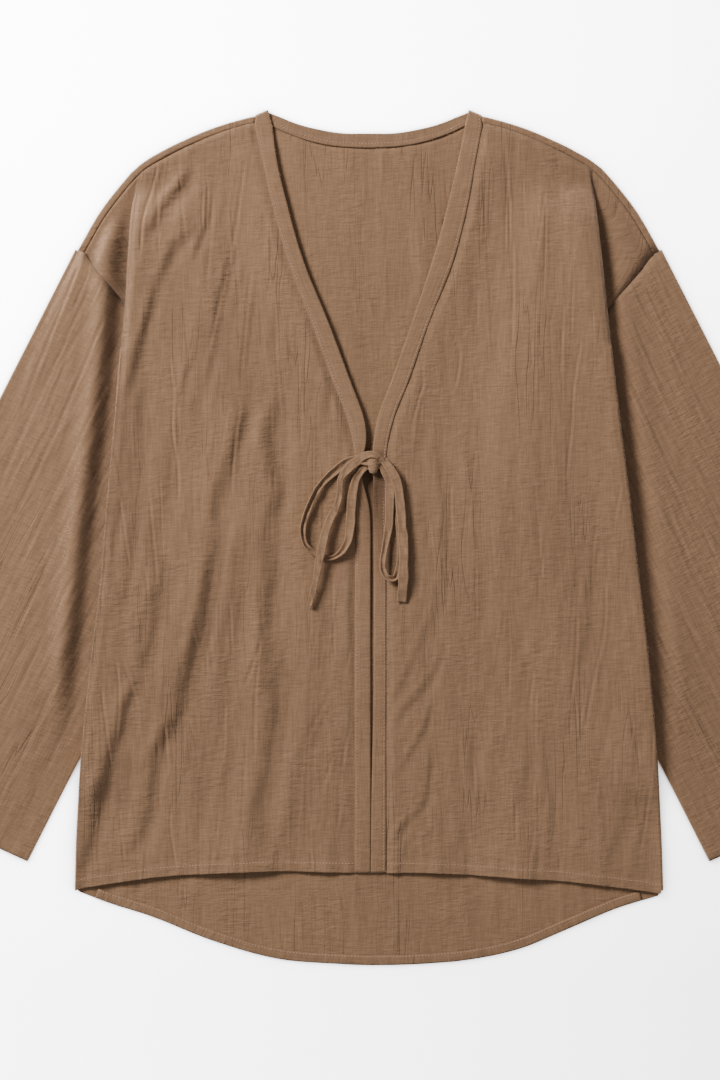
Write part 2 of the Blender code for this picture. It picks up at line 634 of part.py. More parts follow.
def sleeve(side):
    """A flat tube, its rings running round from the hidden underarm fold over the table and back."""
    sign = SIDES[side]
    place = np.linspace(0, 1, SLEEVE_ROWS + 1)
    inner_route = np.array([SLEEVE_SEAM_END, SLEEVE_HIDDEN, SLEEVE_CUFF_IN])
    steps = np.linalg.norm(np.diff(inner_route, axis=0), axis=1)
    reached = np.concatenate([[0], np.cumsum(steps)]) / steps.sum()
    inner = np.stack([np.interp(place, reached, inner_route[:, axis]) for axis in (0, 1)], axis=1)
    top, cuff = np.array(SLEEVE_TOP), np.array(SLEEVE_CUFF_OUT)
    outer = top + place[:, None] * (cuff - top)
    way = unit(cuff - top)
    across = unit(outer - inner)
    outer_turn = outer - (SLEEVE_OUTER_R + WALL / 2) * across
    inner_turn = inner + (SLEEVE_INNER_R + WALL / 2) * across
    ring, ring_normal = [], []

    # at the armhole the tube's edge bends where the shoulder seam ends
    corner_share = SLEEVE_SHARES[MOUTH_CORNER]
    on_line = inner_turn[0] + corner_share * (outer_turn[0] - inner_turn[0])
    corner_move = np.array([SEAM["out"][-1], SEAM["up"][-1]]) - on_line

    def flat_line(t):
        line = inner_turn + t * (outer_turn - inner_turn)
        line[0] += min(t / corner_share, (1 - t) / (1 - corner_share)) * corner_move
        return line

    def add(plan, height, outwards, upward):
        ring.append(np.column_stack([plan, np.full(len(plan), height)]))
        ring_normal.append(np.column_stack([outwards * across, np.full(len(plan), upward)]))

    low = WALL / 2
    for t in SLEEVE_SHARES:
        add(flat_line(t), low, 0.0, -1.0)
    for turn in np.linspace(0, math.pi, TURN_STEPS + 1)[1:]:
        add(outer_turn + SLEEVE_OUTER_R * math.sin(turn) * across,
            low + SLEEVE_OUTER_R * (1 - math.cos(turn)), math.sin(turn), -math.cos(turn))
    flat_top = WALL / 2 + 2 * LAYER
    for t in SLEEVE_SHARES[::-1][1:]:
        near_outer = max(0.0, 1 - (1 - t) * SLEEVE_PUFF)**2
        near_inner = max(0.0, 1 - t * SLEEVE_PUFF)**2
        rise = (2 * SLEEVE_OUTER_R - 2 * LAYER) * near_outer + (2 * SLEEVE_INNER_R - 2 * LAYER) * near_inner
        add(flat_line(t), flat_top + rise, 0.0, 1.0)
    for turn in np.linspace(0, math.pi, TURN_STEPS + 1)[1:-1]:
        add(inner_turn - SLEEVE_INNER_R * math.sin(turn) * across,
            low + SLEEVE_INNER_R * (1 + math.cos(turn)), -math.sin(turn), math.cos(turn))
    middle = np.array(ring).transpose(1, 0, 2)
    normal = np.array(ring_normal).transpose(1, 0, 2)
    across_share = np.linalg.norm(middle[-1, :, :2] - inner[-1], axis=1) / np.linalg.norm(outer[-1] - inner[-1])
    middle[-1, :, :2] += CUFF_BOW * (4 * across_share * (1 - across_share))[:, None] * way
    middle[..., 0] *= sign
    normal[..., 0] *= sign
    cells = np.ones((SLEEVE_ROWS, middle.shape[1]), dtype=bool)
    shell("sleeve_" + side, middle, normal, cells, "cloth")


def front_band(side):
    """The strip down one front edge, level with the front and a little thicker."""
    beside = body_side(side, 1)[0][:, 0]
    up = np.minimum(beside[:, 1], BANDS["up"][-1] - GAP)
    seam = beside[:, 0] - GAP * SIDES[side]
    free = smooth(up, BANDS["up"], BANDS[side + "_free"])
    rows = []
    near_top = np.clip(1 - (up[0] - up) / BAND_RISE, 0, 1)**2
    for share, crown in ((0.0, 0.0), (0.5, BAND_CROWN), (1.0, 0.0)):
        x = free + share * (seam - free)
        height = WALL + GAP + BAND_WALL / 2 + (2 * SHOULDER_R - 2 * LAYER) * near_top + crown
        rows.append(np.column_stack([x, up, height]))
    middle = np.array(rows).transpose(1, 0, 2)
    normal = np.zeros_like(middle)
    normal[..., 2] = 1
    cells = np.ones((len(up) - 1, 2), dtype=bool)
    shell("band_" + side, middle, normal, cells, "band", wall=BAND_WALL)


def neck_band():
    """The strip round the back neck, turned over each shoulder's top to meet the front bands."""
    low = BAND_WALL / 2
    high = WALL / 2 + 2 * SHOULDER_R + (BAND_WALL - WALL) / 2
    radius = (high - low) / 2
    top_up = BANDS["up"][-1]
    free = [(BANDS["right_free"][-1], top_up, high, 1.0, 0.0)]
    seam = [(BANDS["right_seam"][-1] - GAP, top_up, high, 1.0, 0.0)]
    tip_free, tip_seam = np.array(NECK_TIP), np.array(NECK_TIP_SEAM)
    back_of_fold = radius + BAND_WALL / 2
    for turn in np.linspace(0, math.pi, TURN_STEPS + 1):
        reach = radius * math.sin(turn) - back_of_fold
        z = low + radius * (1 + math.cos(turn))
        free.append((tip_free[0], tip_free[1] + reach, z, math.cos(turn), math.sin(turn)))
        seam.append((tip_seam[0], tip_seam[1] + reach, z, math.cos(turn), math.sin(turn)))
    for out in NECK_STATIONS[:-1][::-1]:
        free_out = out * (1 - NECK_EASE * ease(out / NECK_STATIONS[-2]))
        free.append((free_out, smooth(free_out, NECK["out"], NECK["free"]), low, -1.0, 0.0))
        seam.append((out, smooth(out, NECK["out"], NECK["seam"]), low, -1.0, 0.0))
    half = [np.array(free), np.array(seam)]
    lines = []
    for line in half:
        mirrored = line[:-1][::-1] * np.array([-1, 1, 1, 1, 1])
        lines.append(np.concatenate([line, mirrored]))
    lines = np.array(lines).transpose(1, 0, 2)
    middle = lines[..., :3]
    normal = np.stack([np.zeros_like(lines[..., 3]), lines[..., 4], lines[..., 3]], axis=2)
    cells = np.ones((len(lines) - 1, 1), dtype=bool)
    shell("band_neck", middle, normal, cells, "band", wall=BAND_WALL)


def hem_turn_up():
    """The back hem's turned-up strip, made from the back's hem line moved in and up."""
    across = np.linspace(-TURN_UP_REACH, TURN_UP_REACH, 25)
    hem = smooth(across, HEM["across"], HEM["back_up"])
    line = np.column_stack([across, hem])
    way = unit(np.gradient(line, axis=0))
    inward = np.stack([-way[:, 1], way[:, 0]], axis=1)
    inward[inward[:, 1] < 0] *= -1
    height = WALL + GAP + WALL / 2
    rows = [np.column_stack([line + reach * inward, np.full(len(line), height)]) for reach in (TURN_UP_INSET, TURN_UP)]
    middle = np.array(rows).transpose(1, 0, 2)
    normal = np.zeros_like(middle)
    normal[..., 2] = 1
    cells = np.ones((len(line) - 1, 1), dtype=bool)
    shell("hem_turn_up", middle, normal, cells, "cloth_inside")


def ribbon(name, rows, steps):
    """A flat tie along a table's line, rolled about it by the table's angle."""
    table = np.array(rows, dtype=float)
    knots = np.concatenate([[0], np.cumsum(np.linalg.norm(np.diff(table[:, :3], axis=0), axis=1))])
    at = np.linspace(0, knots[-1], steps)
    kept = range(len(RIBBON_COLUMNS.split()))
    line = np.stack([smooth(at, knots, table[:, axis]) for axis in kept], axis=1)
    line[:, 2] += LOW + LAYER + fold_relief(line[:, 0], line[:, 1])
    way = unit(np.gradient(line[:, :3], axis=0))
    level = unit(np.stack([way[:, 1], -way[:, 0], np.zeros(len(way))], axis=1))
    upward = np.cross(level, way)
    roll = np.radians(line[:, 3])[:, None]
    side = np.cos(roll) * level + np.sin(roll) * upward
    face = np.cos(roll) * upward - np.sin(roll) * level
    half = line[:, 4:5] / 2
    middle = np.stack([line[:, :3] - half * side, line[:, :3] + half * side], axis=1)
    normal = np.stack([face, face], axis=1)
    cells = np.ones((steps - 1, 1), dtype=bool)
    shell(name, middle, normal, cells, "tie", wall=TIE_WALL)


def knot():
    """A rounded pinched lump, narrower at its waist."""
    rings, segments = KNOT_RINGS, KNOT_SEGMENTS
    lat = np.linspace(-math.pi / 2, math.pi / 2, rings + 2)
    lon = np.linspace(0, 2 * math.pi, segments, endpoint=False)
    points = []
    for angle in lat[1:-1]:
        waist = 1 - KNOT_WAIST * math.cos(angle * 3)**2
        across = math.cos(angle)**0.6 * waist
        for turn in lon:
            points.append((KNOT_SIZE[0] / 2 * across * math.cos(turn), KNOT_SIZE[1] / 2 * math.sin(angle),
                           KNOT_SIZE[2] / 2 * across * math.sin(turn)))
    points.append((0, -KNOT_SIZE[1] / 2, 0))
    points.append((0, KNOT_SIZE[1] / 2, 0))
    faces = []
    for ring in range(rings - 1):
        for col in range(segments):
            after = (col + 1) % segments
            faces.append((ring * segments + col, ring * segments + after, (ring + 1) * segments + after,
                          (ring + 1) * segments + col))
    last = (rings - 1) * segments
    for col in range(segments):
        after = (col + 1) % segments
        faces.append((len(points) - 2, after, col))
        faces.append((len(points) - 1, last + col, last + after))
    mesh = bpy.data.meshes.new("tie_knot")
    placed = (np.array(points) + np.array(KNOT_CENTRE)) * MM
    mesh.from_pydata(placed.tolist(), [], faces)
    make_outward(mesh)
    mesh.shade_smooth()
    thing = bpy.data.objects.new("tie_knot", mesh)
    bpy.context.collection.objects.link(thing)
    mesh.materials.append(material("tie"))


def centre_on_origin():
    """Put the middle of the whole garment's box over the origin and its lowest point on the table."""
    things = [thing for thing in bpy.data.objects if thing.type == "MESH"]
    points = np.array([tuple(vertex.co) for thing in things for vertex in thing.data.vertices])
    low, high = points.min(axis=0), points.max(axis=0)
    shift = (-(low[0] + high[0]) / 2, -(low[1] + high[1]) / 2, -low[2])
    for thing in things:
        for vertex in thing.data.vertices:
            vertex.co = [value + move for value, move in zip(vertex.co, shift)]
        thing.data.update()
    print("moved by", [round(value, 6) for value in shift])


def main():
    for thing in list(bpy.data.objects):
        bpy.data.objects.remove(thing, do_unlink=True)
    back()
    fronts()
    for side in SIDES:
        sleeve(side)
        front_band(side)
    neck_band()
    hem_turn_up()
    ribbon("loop_left", LOOP_LEFT, LOOP_STEPS)
    ribbon("tail_left", TAIL_LEFT, TAIL_STEPS)
    ribbon("loop_right", LOOP_RIGHT, LOOP_STEPS)
    ribbon("tail_right", TAIL_RIGHT, TAIL_STEPS)
    knot()
    centre_on_origin()


main()
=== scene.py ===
# %% [markdown]
# A kimono-style jacket laid flat on a pale table, seen from straight above.
#
# The garment is cut from one brown crinkled cloth. It has a back, two fronts, two wide sleeves, narrow
# bands down the fronts and round the neck, and two thin ties knotted in a bow. The sleeves are swung in
# behind the body, so the body takes one deep sideways pleat at each shoulder, and the pleat's fold is the
# edge that the eye reads as the side of the jacket.
#
# Every cloth piece below is a surface worked out with numpy on a grid: one parameter runs across the
# cloth and one down it. The same sizes made the plain solids of the frame, so each surface lies where
# its solid does, and only the creases are new.

import math

import bpy
import numpy as np
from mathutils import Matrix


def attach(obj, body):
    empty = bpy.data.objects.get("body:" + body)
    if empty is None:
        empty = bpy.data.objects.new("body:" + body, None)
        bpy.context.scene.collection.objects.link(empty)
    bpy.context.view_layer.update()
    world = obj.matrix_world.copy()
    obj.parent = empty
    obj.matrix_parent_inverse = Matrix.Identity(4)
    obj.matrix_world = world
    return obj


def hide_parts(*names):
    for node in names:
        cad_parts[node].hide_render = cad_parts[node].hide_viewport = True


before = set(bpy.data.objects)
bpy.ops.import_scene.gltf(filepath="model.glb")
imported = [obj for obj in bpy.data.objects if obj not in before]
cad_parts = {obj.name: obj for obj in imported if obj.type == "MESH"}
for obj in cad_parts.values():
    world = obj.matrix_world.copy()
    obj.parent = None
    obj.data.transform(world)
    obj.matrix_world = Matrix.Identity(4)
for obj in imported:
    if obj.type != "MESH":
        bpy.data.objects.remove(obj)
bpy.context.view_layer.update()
MM = 0.001
CENTRING = 0.286 * MM           # the solids were centred on the origin, which moved them this far up


# %% [markdown]
# The camera comes first, because it decides what every later choice has to serve. The photo looks
# straight down, so the camera does too. A long lens keeps the sleeves from leaning outwards. The width
# that the frame covers is the photo's width at the garment's scale, so outlines can be compared.

# %% Camera
PIXEL = 0.9 * MM                # one pixel of the 720 by 1080 frame on the table
FRAME_WIDTH = 720 * PIXEL
FRAME_CENTRE = (-8.5 * PIXEL, -2.5 * PIXEL + CENTRING)
LENS_MM = 85.0
SENSOR_MM = 24.0

lens = bpy.data.cameras.new("camera")
lens.lens = LENS_MM
lens.sensor_fit = "HORIZONTAL"
lens.sensor_width = SENSOR_MM
camera = bpy.data.objects.new("camera", lens)
camera.location = (*FRAME_CENTRE, FRAME_WIDTH * LENS_MM / SENSOR_MM)
bpy.context.collection.objects.link(camera)
bpy.context.scene.camera = camera
print("camera height", round(camera.location.z, 3), "m")


# %% [markdown]
# A material is a small circuit of nodes, and every object here is a mesh with one material. Five helpers
# keep that short. They make a node with its inputs set by name, do a sum on two values, stretch one
# range of values on to another, start a material, and put a mesh into the scene.

# %% Helpers for nodes and objects
def add_node(tree, kind, inputs):
    """A node with some inputs set by name."""
    node = tree.nodes.new(kind)
    for name, value in inputs.items():
        node.inputs[name].default_value = value
    return node


def math_node(tree, operation, first, second=None):
    """One math step; numbers are set, and sockets are linked."""
    node = tree.nodes.new("ShaderNodeMath")
    node.operation = operation
    for spot, value in enumerate((first, second)):
        if isinstance(value, (int, float)):
            node.inputs[spot].default_value = value
        elif value is not None:
            tree.links.new(value, node.inputs[spot])
    return node.outputs[0]


def ranged(tree, value, low, high, at_low=0.0, at_high=1.0):
    """The value's share of the way from low to high, held between 0 and 1, on to another pair of ends."""
    node = add_node(tree, "ShaderNodeMapRange",
                    {"From Min": low, "From Max": high, "To Min": at_low, "To Max": at_high})
    tree.links.new(value, node.inputs["Value"])
    return node.outputs["Result"]


def new_material(name, inputs):
    """A material with its node tree and its Principled shader, which has some inputs set by name."""
    made = bpy.data.materials.new(name)
    made.use_nodes = True
    shader = made.node_tree.nodes["Principled BSDF"]
    for key, value in inputs.items():
        shader.inputs[key].default_value = value
    return made, made.node_tree, shader


def mesh_object(name, points, faces, material):
    """An object in the scene, from points in metres, faces and one material."""
    mesh = bpy.data.meshes.new(name)
    mesh.from_pydata(points, [], faces)
    mesh.materials.append(material)
    thing = bpy.data.objects.new(name, mesh)
    bpy.context.collection.objects.link(thing)
    return thing


print("helpers ready")


# %% [markdown]
# The light is one large soft source from the upper left and a weaker one from the other side, over a
# pale table. A large source gives the soft shadow beside the raised edges of the body. It stands fairly
# low, because shallow creases only show when light grazes them.
#
# Plain white paper comes out grey in the render, so the table also gives off light of its own. It glows
# unevenly, as paper does that lies nearer to a window at one side. Close to the cloth less light reaches
# it: an occlusion node says how open each point is, and a power of that dims the glow, so the cloth
# sits down on the table.

# %% Light and table
KEY_LIGHT = {"place": (-1.94, 1.62, 1.78), "size": 1.0, "power": 138.0, "colour": (1.0, 0.985, 0.96)}
FILL_LIGHT = {"place": (1.4, -0.9, 1.9), "size": 1.6, "power": 5.0, "colour": (0.96, 0.98, 1.0)}
SKY_COLOUR = (0.95, 0.97, 1.0, 1)
SKY_STRENGTH = 0.25
TABLE_COLOUR = (0.87, 0.87, 0.885, 1)
GLOW_COLOUR = (0.975, 0.97, 1.0, 1)
GLOW_SPAN = 0.4                 # the glow changes from this far on one side to this far on the other
GLOW_ENDS = {"X": (3.9, 1.95), "Y": (1.65, 3.2)}
CONTACT_SHADE = 30 * MM         # the table darkens within this distance of the cloth
CONTACT_POWER = 2.2
TABLE_HALF = 3.0
TABLE_DROP = 0.2 * MM           # the table lies this far under the cloth, so no two faces meet


def area_light(name, place, size, power, colour):
    """A square lamp that faces the middle of the table: its axis is the line from its place to there."""
    lamp = bpy.data.lights.new(name, "AREA")
    lamp.size = size
    lamp.energy = power
    lamp.color = colour
    thing = bpy.data.objects.new(name, lamp)
    thing.location = place
    away = np.array(place) / np.linalg.norm(place)
    thing.rotation_euler = (math.acos(away[2]), 0.0, math.atan2(away[1], away[0]) + math.pi / 2)
    bpy.context.collection.objects.link(thing)


area_light("key_light", **KEY_LIGHT)
area_light("fill_light", **FILL_LIGHT)

world = bpy.data.worlds.new("soft_studio")
world.use_nodes = True
world.node_tree.nodes["Background"].inputs["Color"].default_value = SKY_COLOUR
world.node_tree.nodes["Background"].inputs["Strength"].default_value = SKY_STRENGTH
bpy.context.scene.world = world

table_material, glow_tree, table_shader = new_material(
    "pale_table", {"Base Color": TABLE_COLOUR, "Roughness": 0.9, "Emission Color": GLOW_COLOUR})
table_place = glow_tree.nodes.new("ShaderNodeTexCoord")
table_axes = glow_tree.nodes.new("ShaderNodeSeparateXYZ")
glow_tree.links.new(table_place.outputs["Object"], table_axes.inputs[0])
glow = [ranged(glow_tree, table_axes.outputs[axis], -GLOW_SPAN, GLOW_SPAN, *ends)
        for axis, ends in GLOW_ENDS.items()]
openness = add_node(glow_tree, "ShaderNodeAmbientOcclusion", {"Distance": CONTACT_SHADE})
contact = math_node(glow_tree, "POWER", openness.outputs["AO"], CONTACT_POWER)
glowing = math_node(glow_tree, "MULTIPLY", math_node(glow_tree, "MULTIPLY", *glow), contact)
glow_tree.links.new(glowing, table_shader.inputs["Emission Strength"])

corners = [(x * TABLE_HALF, y * TABLE_HALF, -TABLE_DROP) for x, y in ((-1, -1), (1, -1), (1, 1), (-1, 1))]
table = mesh_object("table", corners, [(0, 1, 2, 3)], table_material)
print("lights and table made")


# %% [markdown]
# Two kinds of numbers describe the cut, which a garment maker would call the pattern. The first are the
# cloth's own, in millimetres: how thick it is, how far its layers lie apart and how tightly it bends.
# The second are the outline, in tables: "out" is the distance from the centre line and "up" the height
# towards the neck, and left and right are the photo's sides. A line drawn through a table's points with
# smooth slopes gives the outline at any height, so the tables can stay short.

# %% The pattern
WALL = 0.8                      # the cloth as it shows; its solids are a little thicker
LAYER = 0.65                    # middle of a layer above or below the middle of the stack of two
LOW = 1.15                      # middle of a stack that lies on the table
BAND_WALL = 1.3
TIE_WALL = 0.9
FOLD_R = 1.7                    # bend of the pleat's folds
FOLD_RISE = 6.0                 # height of the pleat's upper stack above its lower one
PROUD = 0.75                    # share by which the edge of the body stands higher than its solid
PROUD_WIDTH = 46.0
PROUD_RUN = 90.0                # length down the edge over which it comes to stand so high
PLEAT_START = 16.0              # from the shoulder seam to where the fold is fully formed
RISE_RUN = 46.0                 # the body's edge gains its height over this much of its length
PLEAT_GROWTH = 0.31             # depth that the pleat gains for each millimetre down the edge
PLEAT_SPREAD = 6.0              # flat width of the fold's columns at the shoulder seam
PLEAT_LENGTH = 156.0
FORMED_AT = math.radians(120)   # the columns follow the two bends once they turn this far
SEAM_STOP = 0.93                # share of the low triangle's side at which its rows stop
ACROSS_TURN = 20.0              # the rows turn from along the seam to across the edge in this length
SIDE_R = 1.5                    # bend of the front's cloth round the side, below the pleat
SIDE_PUFF = 12.0                # width over which the front rises to its rounded side
SHOULDER_R = 1.3
SHOULDER_WRAP = 6.8             # the back's cloth turns over the shoulder and ends at the seam
SHOULDER_FADE = 18.0            # the front comes down off the rounded shoulder edge in this width
RAMP = 84.0                     # width over which the body comes down off the sleeve
RAMP_START = 4.0
AIR = 1.8                       # air between the front and the back where the body is lifted
AIR_FROM = 4.0                  # lift at which that air is complete
AIR_EDGE = 8.0                  # width over which the air closes towards the body's edge

# Columns: out, up
SHOULDER_SEAM = (
    (102.2, 372.2), (121.0, 367.2), (140.0, 361.0), (160.7, 352.3), (181.4, 342.2), (204.0, 327.6),
    (222.8, 306.6), (236.3, 288.6), (256.0, 254.3),
)
PLEAT_TIP_OUT = {"left": 204.0, "right": 200.0}

# Columns: up, left, right
BODY_EDGE = (
    (328.0, 206.6, 201.4), (303.8, 211.4, 203.6), (256.0, 215.6, 208.8), (207.5, 218.4, 213.8),
    (158.0, 223.3, 219.2), (104.9, 227.8, 225.5), (32.0, 234.5, 234.9), (-41.9, 240.9, 243.5),
    (-112.0, 249.3, 251.6), (-194.9, 257.7, 258.8), (-264.2, 262.6, 263.3), (-317.0, 264.2, 265.1),
)

# Columns: up, how high the edge is lifted, and how far in it keeps that height
EDGE_LIFT = (
    (328.0, 6.0, 0.0), (171.0, 6.0, 43.0), (120.0, 5.6, 60.0), (60.0, 5.2, 76.0), (7.0, 5.0, 86.0),
    (-60.0, 4.8, 62.0), (-130.0, 4.6, 33.0), (-196.0, 4.4, 6.0), (-214.0, 3.4, 0.0), (-236.0, 0.8, 0.0),
    (-252.0, 0.0, 0.0),
)

# Columns: up, left seam, left free edge, right seam, right free edge
FRONT_BANDS = (
    (368.6, -102.2, -86.4, 102.2, 86.4), (340.0, -95.4, -82.6, 96.8, 80.8),
    (300.0, -86.6, -73.2, 89.8, 71.6), (250.0, -72.9, -58.9, 77.0, 57.8), (190.0, -50.2, -34.6, 53.5, 37.8),
    (140.0, -32.0, -16.0, 36.0, 20.2), (104.0, -18.4, -3.0, 22.0, 7.4), (84.0, -13.8, 0.7, 17.4, 4.4),
    (40.0, -12.2, 1.8, 15.8, 4.6), (-60.0, -12.2, 1.8, 15.8, 4.9), (-150.0, -12.4, 1.9, 15.8, 4.6),
    (-230.0, -12.4, 1.9, 15.8, 2.9), (-301.9, -12.4, 1.9, 15.8, 2.3),
)

# Columns: out, free edge, seam
BACK_NECK = (
    (0.0, 363.2, 351.5), (24.0, 363.6, 352.4), (45.0, 367.0, 355.6), (62.0, 371.3, 360.5),
    (78.0, 377.6, 366.8), (87.0, 382.6, 371.4),
)
NECK_TIP = (90.0, 384.2)        # the neck's highest point, where the band turns over the shoulder
NECK_TIP_SEAM = (101.0, 379.6)
NECK_STATIONS = (0.0, 20.0, 38.0, 54.0, 68.0, 80.0, 91.0)

# Columns: across, height of the front's hem, height of the back's
HEMS = (
    (-264.2, -316.4, -317.0), (-240.0, -312.5, -326.5), (-194.0, -305.8, -341.5), (-141.0, -302.1, -362.5),
    (-82.0, -300.0, -379.0), (-30.0, -301.2, -383.6), (2.0, -302.0, -384.8), (50.0, -301.5, -383.6),
    (86.0, -303.0, -380.5), (137.0, -306.4, -369.8), (180.0, -309.5, -352.0), (224.0, -314.6, -333.5),
    (265.1, -320.4, -321.0),
)


def columns(names, rows):
    """One array for each named column of a table, in the order of the first column."""
    values = np.array(rows, dtype=float)
    order = np.argsort(values[:, 0])
    return dict(zip(names.split(), values[order].T))


SEAM = columns("out up", SHOULDER_SEAM)
EDGE = columns("up left right", BODY_EDGE)
LIFT = columns("up rise reach", EDGE_LIFT)
BANDS = columns("up left_seam left_free right_seam right_free", FRONT_BANDS)
NECK = columns("out free seam", BACK_NECK)
HEM = columns("across front_up back_up", HEMS)
SIDES = {"left": -1, "right": 1}
print("pattern tables:", len(SEAM["out"]), len(EDGE["up"]), len(BANDS["up"]), len(HEM["across"]), "rows")


# %% Lines through the tables
def smooth(at, xs, ys):
    """A line through a table's points: between two points it is the cubic that meets both, with each
    point's mean slope, and beyond the ends it stays level."""
    slope = np.gradient(ys, xs)
    low = np.clip(np.searchsorted(xs, at, side="right") - 1, 0, len(xs) - 2)
    span = xs[low + 1] - xs[low]
    t = np.clip((at - xs[low]) / span, 0, 1)
    return ((2 * t**3 - 3 * t**2 + 1) * ys[low] + (t**3 - 2 * t**2 + t) * span * slope[low]
            + (3 * t**2 - 2 * t**3) * ys[low + 1] + (t**3 - t**2) * span * slope[low + 1])


def ease(t):
    """Three t squared less two t cubed: rises from 0 to 1 with level ends."""
    t = np.clip(t, 0, 1)
    return t * t * (3 - 2 * t)


def bell(at, middle, half):
    """A bell curve: e to the power of minus the square of the distance from its middle over its half."""
    return np.exp(-((at - middle) / half)**2)


def window(at, low, high, low_run, high_run):
    """1 between low and high, and eased to 0 at each of them over its own run."""
    return ease((at - low) / low_run) * ease((high - at) / high_run)


def unit(vectors):
    """Each vector divided by its length."""
    return vectors / np.linalg.norm(vectors, axis=-1, keepdims=True)


def run_along(points):
    """Distance run from the first point to each: 0, then the running sum of the steps' lengths."""
    return np.concatenate([[0], np.cumsum(np.linalg.norm(np.diff(points, axis=0), axis=1))])


def raised(plan, height):
    """A grid of points from a plan and a height for each."""
    return np.concatenate([plan, np.broadcast_to(height, plan.shape[:2])[..., None]], axis=2)


def seam_up(out):
    """Height of the shoulder seam at a distance from the centre line."""
    return smooth(out, SEAM["out"], SEAM["up"])


def edge_out(up, side):
    """How far out the body's edge lies at a height."""
    return smooth(up, EDGE["up"], EDGE[side])


def tip(side):
    """The point on the shoulder seam where the pleat starts."""
    out = PLEAT_TIP_OUT[side]
    return np.array([out, seam_up(out)])


print("pleat tips:", tip("left"), tip("right"))


# %% [markdown]
# Creases are what make this cloth look like cloth. They come in three sizes. Long soft folds run down
# each panel and are placed one by one, where the photo shows them. Shorter sharp creases lie along the
# grain, with a dark groove and a lit ridge beside it. Between them the whole surface waves a little.
#
# A groove is a bell curve across its line, and the ridge beside it is a second, wider one. The waves are
# value noise: random heights on a coarse lattice, joined by eased slopes and stretched along the grain.

# %% Relief
LATTICE = 64                    # the noise repeats after this many of its steps
FOLD_ENDS = 26.0                # a fold and a crease fade out over these lengths at their ends
GROOVE_ENDS = 9.0
GROOVE_REACH = 9                # a scattered crease does nothing further from its line than this
GROOVE_WIDTHS = (0.8, 1.4)


def waves(across, along, size_across, size_along, seed):
    """Value noise from -1 to 1: lattice heights, eased between neighbours both ways."""
    rng = np.random.default_rng(seed)
    lattice = rng.uniform(-1, 1, (LATTICE, LATTICE))
    a = across / size_across
    b = along / size_along
    a_low = np.floor(a).astype(int)
    b_low = np.floor(b).astype(int)
    s = ease(a - a_low)
    t = ease(b - b_low)
    left, right = a_low % LATTICE, (a_low + 1) % LATTICE
    low, high = b_low % LATTICE, (b_low + 1) % LATTICE
    near = lattice[left, low] * (1 - s) + lattice[right, low] * s
    far = lattice[left, high] * (1 - s) + lattice[right, high] * s
    return near * (1 - t) + far * t


def wave_sum(x, y, rows, seed=0):
    """The sum over a table's rows of height times the noise at a place that leans sideways with y."""
    return sum(height * waves(x + lean * y, y, across, along, seed + own_seed)
               for height, lean, across, along, own_seed in rows)


def down_line(x, y, points, ends):
    """Signed distance from a line that runs down the cloth: the sideways distance times the cosine of
    the line's lean. With it comes a fade, which is 1 along the line and falls to 0 at its two ends."""
    line = np.array(points)
    line = line[np.argsort(line[:, 1])]
    lean = np.interp(y, line[:, 1], np.gradient(line[:, 0], line[:, 1]))
    off = (x - smooth(y, line[:, 1], line[:, 0])) / np.sqrt(1 + lean**2)
    return off, window(y, line[0, 1], line[-1, 1], ends, ends)


def fold(x, y, half_width, rise, points):
    """A soft fold by its shaded flank. With u the distance over the half width, the height is minus the
    rise times u times e to the power of (1 - u squared) / 2: a crest at -1 and a hollow at 1."""
    off, fade = down_line(x, y, points, FOLD_ENDS)
    u = off / half_width
    return -rise * fade * u * np.exp((1 - u**2) / 2)


def groove(x, y, width, depth, points, ends=GROOVE_ENDS):
    """A pressed crease: a bell-shaped groove along the line, less a bell half as high and 1.3 times as
    wide whose crest lies 1.9 widths to one side."""
    off, fade = down_line(x, y, points, ends)
    return depth * fade * (0.5 * bell(off, 1.9 * width, 1.3 * width) - bell(off, 0.0, width))


def scattered(x, y, count, span, seed, tilt=0.07, length=(14, 70), depth=(0.12, 0.5)):
    """Many short creases along the grain, each at a seeded place inside the panel's span."""
    rng = np.random.default_rng(seed)
    total = np.zeros_like(x)
    for _ in range(count):
        centre = rng.uniform(span[0], span[1])
        reach = rng.uniform(*length) / 2
        lean = rng.normal(0, tilt) * reach
        points = (centre - (lean, reach), centre + (lean, reach))
        width = rng.uniform(*GROOVE_WIDTHS)
        deep = rng.uniform(*depth) * rng.choice((-1, 1))
        near = (np.abs(x - centre[0]) < GROOVE_REACH + abs(lean)) & (np.abs(y - centre[1]) < reach)
        total[near] += groove(x[near], y[near], width, deep, points, ends=0.4 * reach)
    return total


print("relief helpers ready")


# %% [markdown]
# The cloth itself is one finish. Real crinkled cloth has three things that a flat colour lacks: yarns
# of uneven thickness both ways, fine crinkles along the grain that catch the light, and a shade that
# drifts from place to place. Each is made from noise that is stretched along one direction, and read
# from the piece's own map, so that the grain turns with the piece. The thinnest crinkles are also
# darkened in the colour, as painted shade. One group holds the effect, and each material gives it its
# own strength and passes its outputs to its own shader.

# %% Shader group: crinkled weave
def stretched_noise(tree, place, per_metre, detail, seed):
    """Noise with its own count of features per metre across and along the grain."""
    scaled = tree.nodes.new("ShaderNodeVectorMath")
    scaled.operation = "MULTIPLY_ADD"
    tree.links.new(place, scaled.inputs[0])
    scaled.inputs[1].default_value = (per_metre[0], per_metre[1], 1.0)
    scaled.inputs[2].default_value = (seed, seed * 0.7, seed * 0.3)
    noise = add_node(tree, "ShaderNodeTexNoise", {"Scale": 1.0, "Detail": detail, "Roughness": 0.55})
    tree.links.new(scaled.outputs[0], noise.inputs["Vector"])
    return noise.outputs["Fac"]


